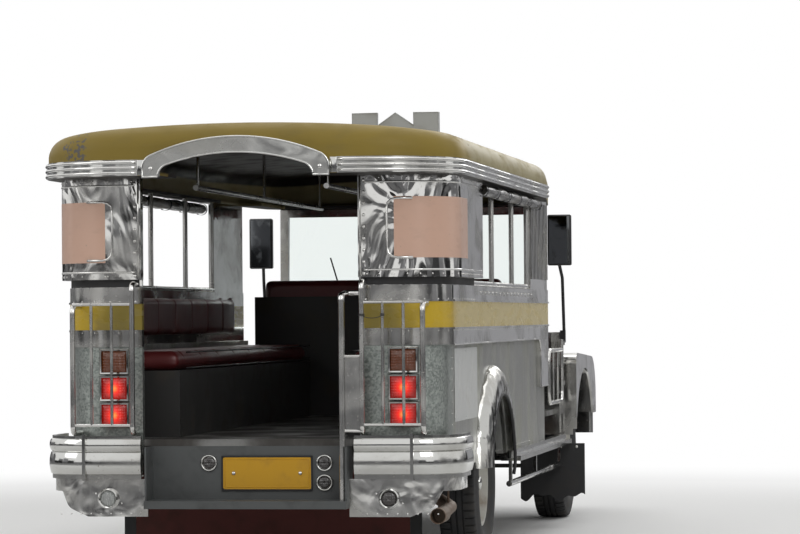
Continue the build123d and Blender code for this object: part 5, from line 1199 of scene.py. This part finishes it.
PEACH = (0.70, 0.45, 0.34)
peach = Finish("peach_sticker", PEACH, 0.38, 0.0, Coat_Weight=0.3, Coat_Roughness=0.2)
sticker_wear = peach.between(peach.noise(10, (1, 1, 2), detail=6), 0.5, 0.78)
sticker_edge = peach.between(peach.noise(60, detail=4), 0.70, 0.76)
peach_worn = peach.blend(sticker_wear * 0.5, PEACH, (0.56, 0.36, 0.27))
peach.feed(
    Base_Color=peach.blend(sticker_edge * 0.8, peach_worn, (0.36, 0.27, 0.21)),
    Roughness=0.33 + sticker_wear * 0.3,
    Normal=peach.bump(peach.noise(8, detail=2), 0.003),
)
placard_white = enamelled("placard_white", (0.60, 0.61, 0.60), 0.4, 0.25, (0.34, 0.32, 0.28), 8)

# %% Stickers and placard
STICKERS = (
    # name, side, x on the rear face, y reached on the side, low z, high z
    ("right", -1, 0.700, 2.32, 1.444, 1.713),
    ("left", 1, 0.733, 2.40, 1.435, 1.705),
)
for name, side, x_from, y_to, low, high in STICKERS:
    mesh = bmesh.new()
    line = corner_line(*PANEL.values(), x_from, y_to, side, 0.018)
    wrapped_strip(mesh, line, low, high, 0.0010, 4)
    sticker = finish_mesh(f"corner_sticker_{name}", mesh, peach, sharp=40)

PLACARD_X = -0.8492


def bulge(u, v):
    """How far the placard stands off the side between its screws."""
    return 0.0012 * math.sin(9 * u) * math.sin(3.1 * v) ** 2 + 0.0012


placard = bmesh.new()
corners = [(PLACARD_X, 2.35, 0.71), (PLACARD_X, 1.64, 0.71), (PLACARD_X, 1.64, 1.04), (PLACARD_X, 2.35, 1.04)]
plate(placard, corners, (-1, 0, 0), 0.0012, 12, 6, bulge)
for y in (2.33, 2.0, 1.66):
    for z in (0.725, 1.025):
        dome(placard, (PLACARD_X - 0.002, y, z), (-1, 0, 0), 0.005, 0.003)
blank = finish_mesh("side_placard", placard, placard_white, sharp=40)

# %% Painted shadow in the panel gap, and foot plates
# A black rubber-finished strip round the neck, under the upper panels, is the painted shadow of that gap.
gap = bmesh.new()
for side in (-1, 1):
    line = corner_line(*NECK.values(), 0.500, 1.84, side, 0.03)
    wrapped_strip(gap, line, 1.3265, 1.3595, 0.0012)
gap_shadow_strip = finish_mesh("panel_gap_seal", gap, flap_black, sharp=40)
feet = bmesh.new()
for side in (-1, 1):
    near_x, far_x = sorted((side * 0.4135, side * 0.4428))
    box_mesh((near_x, 3.0003, 1.8115), (far_x, 3.0125, 1.8785), feet)
bevel_all(feet, 0.002, 2)
foot_plates = finish_mesh("visor_foot_plates", feet, chrome_trim, sharp=40)

# %% Pressed mouldings
pressed = bmesh.new()
for side in (-1, 1):
    d_shape = [(0.735, 1.705), (0.665, 1.705), (0.640, 1.700), (0.624, 1.684), (0.619, 1.660), (0.619, 1.490)]
    d_shape += [(0.624, 1.466), (0.640, 1.450), (0.665, 1.445), (0.735, 1.445)]
    tube_along(pressed, [(side * x, PANEL["rear_y"] - 0.001, z) for x, z in d_shape], 0.006, 8)
    line = corner_line(*PANEL.values(), 0.515, 1.86, side, 0.03)
    for level in (1.392, 1.778):
        tube_along(pressed, [spot - normal * 0.002 + Vector((0, 0, level)) for spot, normal in line], 0.005, 8)
    edge = [(side * 0.500, PANEL["rear_y"] + 0.0005, z) for z in (1.364, 1.5, 1.65, 1.806)]
    tube_along(pressed, edge, 0.0045, 8)
EAVE_BEAD_R = 0.0082
EAVE_OUT = 0.0075
EAVE_END_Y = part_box("eave_mouldings")[0].y + 0.01
for side in (-1, 1):
    line = corner_line(0.940 + EAVE_OUT, 3.0003 + EAVE_OUT, 0.400 + EAVE_OUT, 0.448, -0.40, side, 0.035)
    tapered = Vector((side * (0.800 - 0.940), -1.64 + 0.40, 0)).normalized()
    reach = (-0.40 - EAVE_END_Y) / -tapered.y
    steps = [line[-1][0] + tapered * reach * k / 8 for k in range(1, 9)]
    for level in (1.8217, 1.8450, 1.8683):
        lift = Vector((0, 0, level))
        tube_along(pressed, [spot + lift for spot, _ in line] + [spot + lift for spot in steps], EAVE_BEAD_R, 8)
beading = finish_mesh("pressed_beading", pressed, stainless_sheet)
print("stickers and mouldings on")

# %% [markdown]
# ## Edge beads and rivets
# The rear visor and the sign have a bead along their cut edges, found on the CAD faces. Every
# sheet is riveted along its edges, and one mesh holds all the heads, which are low domes.

# %% Beads along cut edges
def edge_loops(node, axis, level):
    """The outlines of a node's flat face that lies at a level of one axis."""
    mesh = bmesh.new()
    mesh.from_mesh(bpy.data.objects[node].data)
    bmesh.ops.remove_doubles(mesh, verts=mesh.verts, dist=1e-5)
    flat = {f for f in mesh.faces if all(abs(vertex.co[axis] - level) < 2e-4 for vertex in f.verts)}
    nexts = {}
    for edge in mesh.edges:
        if sum(f in flat for f in edge.link_faces) == 1:
            for a, b in (edge.verts, reversed(edge.verts)):
                nexts.setdefault(a, []).append(b)
    loops, left = [], set(nexts)
    while left:
        first = left.pop()
        loop, spot = [first], first
        while True:
            onward = [vertex for vertex in nexts[spot] if vertex in left]
            if not onward:
                break
            spot = onward[0]
            left.discard(spot)
            loop.append(spot)
        loops.append([vertex.co.copy() for vertex in loop])
    mesh.free()
    return [loop for loop in loops if len(loop) > 3]


VISOR_FACE_Y = 3.04
SIGN_FACES_Y = (-1.15, -1.18)
edge_beads = bmesh.new()
for loop in edge_loops("rear_arch_visor", 1, VISOR_FACE_Y):
    tube_along(edge_beads, loop, 0.0045, 8, closed=True)
visor_edge = finish_mesh("visor_edge_bead", edge_beads, chrome_trim)
sign_beads = bmesh.new()
for level in SIGN_FACES_Y:
    for loop in edge_loops("signboard", 1, level):
        tube_along(sign_beads, loop, 0.003, 6, closed=True)
sign_edge = finish_mesh("signboard_edge", sign_beads, grey_paint)
print("edges beaded")

# %% Rows of rivets
rivets = bmesh.new()
BIG_RIVET_R = 0.0075
RIVET_R = 0.0042
RIVET_H = 0.0022
ROWS = (
    # outline, x from, y to, height, pitch
    (PANEL, 0.530, 1.85, 1.374, 0.055),
    (PANEL, 0.530, 1.85, 1.797, 0.055),
    (BELT, 0.520, 1.85, 1.262, 0.070),
    (BELT, 0.520, -0.90, 1.124, 0.075),
    (LOWER, 0.520, -0.30, 0.524, 0.080),
)
for outline, x_from, y_to, level, pitch in ROWS:
    for side in (-1, 1):
        for spot, normal in corner_line(*outline.values(), x_from, y_to, side, pitch):
            dome(rivets, spot + Vector((0, 0, level)), normal, RIVET_R, RIVET_H, 7, 2)
for side in (-1, 1):
    for k in range(9):
        dome(rivets, (side * 0.516, PANEL["rear_y"], 1.375 + 0.0515 * k), (0, 1, 0), BIG_RIVET_R, 0.0045, 10, 3)
    for k in range(11):
        for y in (-0.90, 2.42):
            dome(rivets, (side * LOWER["half"], y, 0.55 + 0.05 * k), (side, 0, 0), RIVET_R, RIVET_H, 7, 2)
    dome(rivets, (side * 0.375, 3.040, 1.838), (0, 1, 0), 0.010, 0.006, 14, 4)
    for k in range(8):
        dome(rivets, (side * (0.53 + 0.045 * k), 2.820, 0.325), (0, 1, 0), RIVET_R, RIVET_H, 7, 2)
rivet_heads = finish_mesh("rivet_heads", rivets, stainless_tube)
print("rivet triangles about", 2 * len(rivet_heads.data.polygons))

# %% [markdown]
# ## Seams over the roof
# The roof is made of sheets that lap over each other. A ray cast down onto the CAD roof gives
# the line that each lap follows.

# %% Roof laps
LAP_Y = (2.36, 1.30, 0.24, -0.82)
LAP_LOW_Z = 1.882
roof = bpy.data.objects["roof_shell"].data
roof_tree = BVHTree.FromPolygons([vertex.co for vertex in roof.vertices], [tuple(p.vertices) for p in roof.polygons])
laps = bmesh.new()
for y in LAP_Y:
    line = []
    for k in range(61):
        x = -0.925 + 1.85 * k / 60
        hit = roof_tree.ray_cast(Vector((x, y, 3.0)), Vector((0, 0, -1)))[0]
        if hit is not None and hit.z > LAP_LOW_Z:
            line.append(hit - Vector((0, 0, 0.001)))
    tube_along(laps, line, 0.0035, 6)
roof_laps = finish_mesh("roof_laps", laps, roof_paint)
print(len(LAP_Y), "laps")

# %% [markdown]
# ## Rear end trim
# The number plate is blank. It gets a dark frame, a pressed rim and two bolts, with three round
# reflectors beside it. A thin wire ties two bars of the right lamp guard.

# %% Plate, reflectors and wire
low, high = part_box("number_plate")
framing = bmesh.new()
FRAME_T = 0.007
for a, b in (
    ((low.x - FRAME_T, low.z - FRAME_T), (high.x + FRAME_T, low.z - 0.0003)),
    ((low.x - FRAME_T, high.z + 0.0003), (high.x + FRAME_T, high.z + FRAME_T)),
    ((low.x - FRAME_T, low.z - 0.0003), (low.x - 0.0003, high.z + 0.0003)),
    ((high.x + 0.0003, low.z - 0.0003), (high.x + FRAME_T, high.z + 0.0003)),
):
    box_mesh((a[0], low.y, a[1]), (b[0], high.y + 0.002, b[1]), framing)
bevel_all(framing, 0.0012, 1)
plate_frame = finish_mesh("plate_frame", framing, black_plastic, sharp=35)
rim = bmesh.new()
IN = 0.009
loop = [(low.x + IN, low.z + IN), (high.x - IN, low.z + IN), (high.x - IN, high.z - IN), (low.x + IN, high.z - IN)]
dense = [tuple(Vector(a).lerp(Vector(b), t)) for a, b in zip(loop, loop[1:] + loop[:1]) for t in (0.0, 0.03, 0.5, 0.97)]
tube_along(rim, [(x, high.y, z) for x, z in dense], 0.0018, 6, closed=True)
plate_rim = finish_mesh("plate_rim", rim, plate_enamel)
small = bmesh.new()
for x in (-0.222, 0.078):
    dome(small, (x, high.y, 0.50), (0, 1, 0), 0.009, 0.005, 12, 3)
REFLECTORS = ((-0.330, 0.545), (-0.330, 0.458), (0.190, 0.545))
REFLECTOR_RING = ((0.0, 0.029), (0.008, 0.029), (0.011, 0.033), (0.008, 0.037), (0.0, 0.037))
REFLECTOR_LENS = ((0.001, 0.0001), (0.0095, 0.0001), (0.0090, 0.014), (0.0070, 0.0288), (0.001, 0.0288))
for x, z in REFLECTORS:
    turned(small, REFLECTOR_RING, 32, (x, low.y, z), axis="Y")
fittings = finish_mesh("rear_fittings", small, chrome_trim)
reflex = bmesh.new()
for x, z in REFLECTORS:
    turned(reflex, REFLECTOR_LENS, 32, (x, low.y, z), axis="Y")
reflectors = finish_mesh("rear_reflectors", reflex, dark_lens)
WIRE_R, WIRE_Y, WIRE_Z = 0.0018, 2.838, 1.190
wire = bmesh.new()
strand = []
for k in range(13):
    t = k / 12
    strand.append((-0.515 - 0.093 * t, WIRE_Y + 0.004 * math.sin(7 * t), WIRE_Z - 0.010 * math.sin(math.pi * t)))
tube_along(wire, strand, WIRE_R, 6)
turns = [2 * math.pi * k / 14 for k in range(14)]
for x, r in ((-0.515, 0.0135), (-0.608, 0.0085)):
    for k in range(3):
        coil = [(x + r * math.cos(a), WIRE_Y + r * math.sin(a), WIRE_Z + 0.004 * k) for a in turns]
        tube_along(wire, coil, WIRE_R, 6, closed=True)
tie_wire = finish_mesh("guard_wire", wire, black_plastic)
print("rear trim fitted")

# %% [markdown]
# ## Mudflaps
# Black rubber flaps hang behind the front wheels, and a red one with black ends across the
# rear. They hang in waves from a row of bolts, and their lower edges are ragged.

# %% Rubber flaps
FLAP_T = 0.006
FLAP_END = 0.055


def flap_mesh(mesh, low, high, columns, rows, wave, ragged, seed):
    """A rubber flap between two corners, waved towards y, with a ragged lower edge."""
    middle = (low.y + high.y) / 2
    layers = []
    for side in (-1, 1):
        grid = []
        for i in range(rows + 1):
            v = i / rows
            row = []
            for j in range(columns + 1):
                u = j / columns
                tooth = 0.6 * math.sin(seed + 11 * u) + 0.4 * math.sin(2 * seed + 25 * u)
                drop = ragged * (0.5 + 0.5 * tooth) * (1 - v) ** 4
                bend = wave * (1 - v) * math.sin(seed + 6.3 * u + 2 * v)
                y = middle + side * FLAP_T / 2 + bend
                row.append((low.x + (high.x - low.x) * u, y, low.z + (high.z - low.z) * v + drop))
            grid.append(row)
        layers.append(grid_faces(mesh, grid))
    join_outlines(mesh, outline_of(layers[0]), outline_of(layers[1]))


black_flaps, red_flap, flap_bolts = bmesh.new(), bmesh.new(), bmesh.new()
for (low, high), seed in zip(solid_boxes("mudflaps"), (0.4, 1.9, 2.7)):
    if low.y < 0:
        flap_mesh(black_flaps, low, high, 40, 16, 0.0018, 0.055, seed)
        for k in range(4):
            x = low.x + (high.x - low.x) * (k + 0.5) / 4
            dome(flap_bolts, (x, high.y - 0.0005, high.z - 0.02), (0, 1, 0), 0.009, 0.005)
        continue
    end = Vector((FLAP_END, 0, 0))
    flap_mesh(red_flap, low + end, high - end, 60, 16, 0.002, 0.010, seed)
    flap_mesh(black_flaps, low, Vector((low.x + 0.054, high.y, high.z)), 6, 12, 0.001, 0.03, seed)
    flap_mesh(black_flaps, Vector((high.x - 0.054, low.y, low.z)), high, 6, 12, 0.001, 0.03, seed)
    for k in range(9):
        dome(flap_bolts, (low.x + 0.08 + 0.152 * k, high.y - 0.0005, high.z - 0.03), (0, 1, 0), 0.009, 0.005)
for name, mesh, finish, slot in (
    ("mudflaps_black", black_flaps, flap_black, "flap_rubber"),
    ("mudflap_red", red_flap, flap_red, "flap_rubber"),
    ("mudflap_bolts", flap_bolts, stainless_tube, "stainless_tube"),
):
    piece = finish_mesh(name, mesh, finish, sharp=40)
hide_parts("mudflaps")

# %% [markdown]
# ## Rear fenders
# Each rear wheel opening has a domed cover, beaten over a form from one sheet. Its section
# is a quarter of an ellipse that ends in a lip, so the section is drawn once as a closed
# face and spun about the axle. Low dents are pushed into the mesh, because the real cover's
# reflections break up on them.

# %% Domed covers
ARCH_Y, ARCH_Z, ARCH_R = 1.150, 0.375, 0.430
DOME_R, DOME_PROUD, DOME_SKIN = 0.570, 0.0635, 0.003
DOME_SEAT = 0.8500
DOME_LOW_Z = 0.470
DOME_START = math.radians(11)
DOME_SWING = math.pi - 2 * DOME_START
DOME_DENT = 0.0035
section = []
for k in range(15):
    t = math.pi / 2 * k / 14
    section.append((DOME_PROUD * math.sin(t) ** 0.9, ARCH_R + 0.008 + (DOME_R - ARCH_R - 0.008) * math.cos(t) ** 0.9))
section += [(DOME_PROUD - 0.0015, ARCH_R + 0.003), (DOME_PROUD - 0.010, ARCH_R)]
section += [(DOME_PROUD - 0.010, ARCH_R + DOME_SKIN), (DOME_PROUD - 0.004, ARCH_R + 0.006)]
for k in range(14, -1, -1):
    t = math.pi / 2 * k / 14
    reach = DOME_R - DOME_SKIN - ARCH_R - 0.009
    section.append(((DOME_PROUD - DOME_SKIN) * math.sin(t) ** 0.9, ARCH_R + 0.009 + reach * math.cos(t) ** 0.9))
covers = bmesh.new()
for side in (-1, 1):
    start = []
    for out, r in section:
        y, z = ARCH_Y + r * math.cos(DOME_START), ARCH_Z + r * math.sin(DOME_START)
        start.append(covers.verts.new((side * (DOME_SEAT + out), y, z)))
    face = covers.faces.new(start)
    axle = dict(cent=(0, ARCH_Y, ARCH_Z), axis=(1, 0, 0))
    bmesh.ops.spin(covers, geom=[face], **axle, angle=DOME_SWING, steps=92, use_duplicate=False)
for vertex in covers.verts:
    # The ends are cut level: each point's angle is stretched between its own two ends.
    rise, run = vertex.co.z - ARCH_Z, vertex.co.y - ARCH_Y
    r = math.hypot(rise, run)
    share = (math.atan2(rise, run) - DOME_START) / DOME_SWING
    low_angle = math.asin((DOME_LOW_Z - ARCH_Z) / r)
    angle = low_angle + share * (math.pi - 2 * low_angle)
    vertex.co.y, vertex.co.z = ARCH_Y + r * math.cos(angle), ARCH_Z + r * math.sin(angle)
    proud = max(0.0, abs(vertex.co.x) - DOME_SEAT) / DOME_PROUD
    dent = noise.noise(vertex.co * 7.5) + 0.5 * noise.noise(vertex.co * 17.0)
    vertex.co.x += math.copysign(DOME_DENT * dent * min(1.0, 1.6 * proud) * (1.0 - 0.7 * proud), vertex.co.x)
fender_covers = finish_mesh("rear_fender_covers", covers, fender_sheet, sharp=40)
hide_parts("rear_fenders")
print("fender covers:", len(fender_covers.data.polygons), "faces")

# %% [markdown]
# ## Edges of the side sheets
# Behind each cab opening the side sheet's upper corner is rounded, and its edge is turned
# over and rolled. Rubber beading covers the sheet's edge in the rear wheel openings.

# %% Rounded corner and rolled edge of the turned skin
SKIN_R, SKIN_EDGE = 0.095, 0.0045
SKIN_IN, SKIN_OUT = 0.8500, 0.8734
CAB_WALL_Y, SKIN_LOW_Z, EDGE_START_Y = -0.970, 0.803, 2.50
turned_skin = bmesh.new()
for side in (-1, 1):
    corner_y, corner_z = CAB_WALL_Y + 0.330, 1.060
    arc = []
    for k in range(11):
        angle = math.pi / 2 * k / 10
        arc.append((corner_y + SKIN_R - SKIN_R * math.sin(angle), corner_z - SKIN_R + SKIN_R * math.cos(angle)))
    outline = [(corner_y - 0.002, corner_z)] + arc
    faces = [[turned_skin.verts.new((side * x, y, z)) for y, z in outline] for x in (SKIN_IN, SKIN_OUT)]
    for face in faces:
        turned_skin.faces.new(face)
    join_outlines(turned_skin, *faces)
    edge_x = side * (SKIN_OUT - 0.001)
    line = [(edge_x, EDGE_START_Y - 0.15 * k, corner_z) for k in range(20)]
    line += [(edge_x, y, z) for y, z in arc]
    line += [(edge_x, corner_y, 0.90), (edge_x, corner_y, SKIN_LOW_Z), (edge_x, CAB_WALL_Y + 0.014, SKIN_LOW_Z)]
    tube_along(turned_skin, line, SKIN_EDGE, 8)
skin_corner = finish_mesh("side_skin_corners", turned_skin, bright_sheet, sharp=40)
print("skin corners:", len(skin_corner.data.polygons), "faces")

# %% Rubber on the rear wheel openings
gasket = bmesh.new()
for side in (-1, 1):
    x = side * 0.909
    arc = []
    for k in range(49):
        angle = math.radians(13 + 154 * k / 48)
        arc.append((x, ARCH_Y + ARCH_R * math.cos(angle), ARCH_Z + ARCH_R * math.sin(angle)))
    arc += [(x, arc[-1][1] + 0.012, 0.44), (side * 0.905, arc[-1][1] + 0.030, 0.40)]
    tube_along(gasket, arc, 0.0085, 8)
arch_rubber = finish_mesh("wheel_arch_rubber", gasket, flap_black)
print("flaps and rubbers on")

# %% [markdown]
# ## Side hooks, mirrors and front lamps
# A row of hooks under the windows takes the curtains' ropes when they are let down. The
# mirrors get their glass, the headlamps a ribbed lens in a chrome ring, and the windscreen
# its two wipers.

# %% Hooks
HOOK_Z = 1.298
HOOK_BEND = ((0.001, 0.004), (0.011, 0.003), (0.016, -0.003), (0.014, -0.010), (0.008, -0.012))
hooks = bmesh.new()
for side in (-1, 1):
    x = side * NECK["half"]
    low_x, high_x = sorted((x, x + side * 0.002))
    for k in range(15):
        y = 1.72 - 0.135 * k
        box_mesh((low_x, y - 0.016, HOOK_Z - 0.010), (high_x, y + 0.016, HOOK_Z + 0.010), hooks)
        tube_along(hooks, [(x + side * out, y, HOOK_Z + up) for out, up in HOOK_BEND], 0.0018, 6)
curtain_hooks = finish_mesh("curtain_hooks", hooks, stainless_tube, sharp=40)

# %% Mirror glass
SILVER = (0.20, 0.21, 0.22)
MIRROR_Y = -1.5775
MIRROR_Z = (1.479, 1.751)
mirror_glass = Finish("mirror_glass", SILVER, 0.03, 1.0)
mirror_dust = mirror_glass.between(mirror_glass.noise(14, detail=6), 0.5, 0.8)
mirror_glass.feed(
    Roughness=0.03 + mirror_dust * 0.15,
    Base_Color=mirror_glass.blend(mirror_dust * 0.4, SILVER, (0.12, 0.12, 0.115)),
)
faces = bmesh.new()
for low, high in solid_boxes("mirrors"):
    span = (low.x + 0.009, high.x - 0.009)
    corners = [(span[i], MIRROR_Y, MIRROR_Z[j]) for i, j in ((0, 0), (1, 0), (1, 1), (0, 1))]
    plate(faces, corners, (0, 1, 0), 0.0015, 6, 10)
glasses = finish_mesh("mirror_glasses", faces, mirror_glass, sharp=30)

# %% Headlamps and markers
MARKER_RING = ((0.001, 0.036), (-0.005, 0.036), (-0.007, 0.032), (-0.005, 0.029), (0.001, 0.029))
MARKER_LENS = ((0.001, 0.0001), (-0.011, 0.0001), (-0.009, 0.015), (-0.004, 0.0287), (0.001, 0.0287))
rings, lenses, ambers = bmesh.new(), bmesh.new(), bmesh.new()
for low, high in solid_boxes("front_lamps"):
    centre = (low + high) / 2
    if low.y < -2.5:
        radius = (high.x - low.x) / 2
        ring = [(0.002, radius - 0.001), (-0.006, radius - 0.001), (-0.012, radius - 0.006)]
        ring += [(-0.008, radius - 0.014), (0.002, radius - 0.014)]
        turned(rings, ring, 48, (centre.x, low.y, centre.z), axis="Y")
        dish = [(0.001, 0.0001), (-0.016, 0.0001), (-0.0155, 0.020), (-0.0135, 0.045), (-0.0095, 0.068)]
        dish += [(-0.006, radius - 0.0145), (0.001, radius - 0.0145)]
        turned(lenses, dish, 48, (centre.x, low.y, centre.z), axis="Y")
        continue
    lamp = (centre.x, low.y, high.z - 0.045)
    turned(rings, MARKER_RING, 28, lamp, axis="Y")
    turned(ambers, MARKER_LENS, 28, lamp, axis="Y")
for name, mesh, finish, slot in (
    ("front_lamp_rings", rings, chrome_trim, "chrome_trim"),
    ("headlamp_lenses", lenses, lamp_glass, "lamp_glass"),
    ("marker_lenses", ambers, amber_lens, "lamp_glass"),
):
    finish_mesh(name, mesh, finish)

# %% Bonnet catches and bumper bolts
CATCH_LOOP = ((-0.012, 0.99), (0.012, 0.99), (0.012, 0.945), (-0.012, 0.945))
catches, bolts = bmesh.new(), bmesh.new()
for side in (-1, 1):
    for y in (-1.96, -2.58):
        x = 0.480 - 0.080 * (-1.796 - y) / 0.934
        low_x, high_x = sorted((side * (x + 0.0005), side * (x + 0.007)))
        box_mesh((low_x, y - 0.016, 0.958), (high_x, y + 0.016, 1.000), catches)
        loop = [(side * (x + 0.012), y + along, z) for along, z in CATCH_LOOP]
        tube_along(catches, loop, 0.0025, 6, closed=True)
    for x in (0.30, 0.46, 0.78):
        for z in (0.510, 0.580):
            dome(bolts, (side * x, -3.0 + 0.0005, z), (0, -1, 0), 0.013, 0.008, 12, 3)
catch_set = finish_mesh("bonnet_catches", catches, stainless_tube, "hood", sharp=40)
finish_mesh("front_bumper_bolts", bolts, stainless_tube)

# %% Wipers
LEAN = math.tan(math.radians(14))
WIPER_ARM = ((0.0, 1.118, 0.010), (0.04, 1.20, 0.013), (0.12, 1.33, 0.011))


def on_screen(x, z, off):
    """A point in front of the windscreen at a height, off its frame by some distance."""
    return Vector((x, -1.752 + (z - 1.09) * LEAN - off, z))


wipers = bmesh.new()
for pivot_x in (-0.42, 0.30):
    dome(wipers, on_screen(pivot_x, 1.118, 0.002), (0, -1, 0.25), 0.011, 0.012, 12, 3)
    tube_along(wipers, [on_screen(pivot_x + out, z, off) for out, z, off in WIPER_ARM], 0.003, 6)
    shares = [k / 6 - 0.5 for k in range(7)]
    blade = [on_screen(pivot_x + 0.12 + 0.10 * share, 1.33 + 0.40 * share, 0.006) for share in shares]
    tube_along(wipers, blade, 0.0045, 6)
finish_mesh("wipers", wipers, black_plastic)
print("front fittings on")
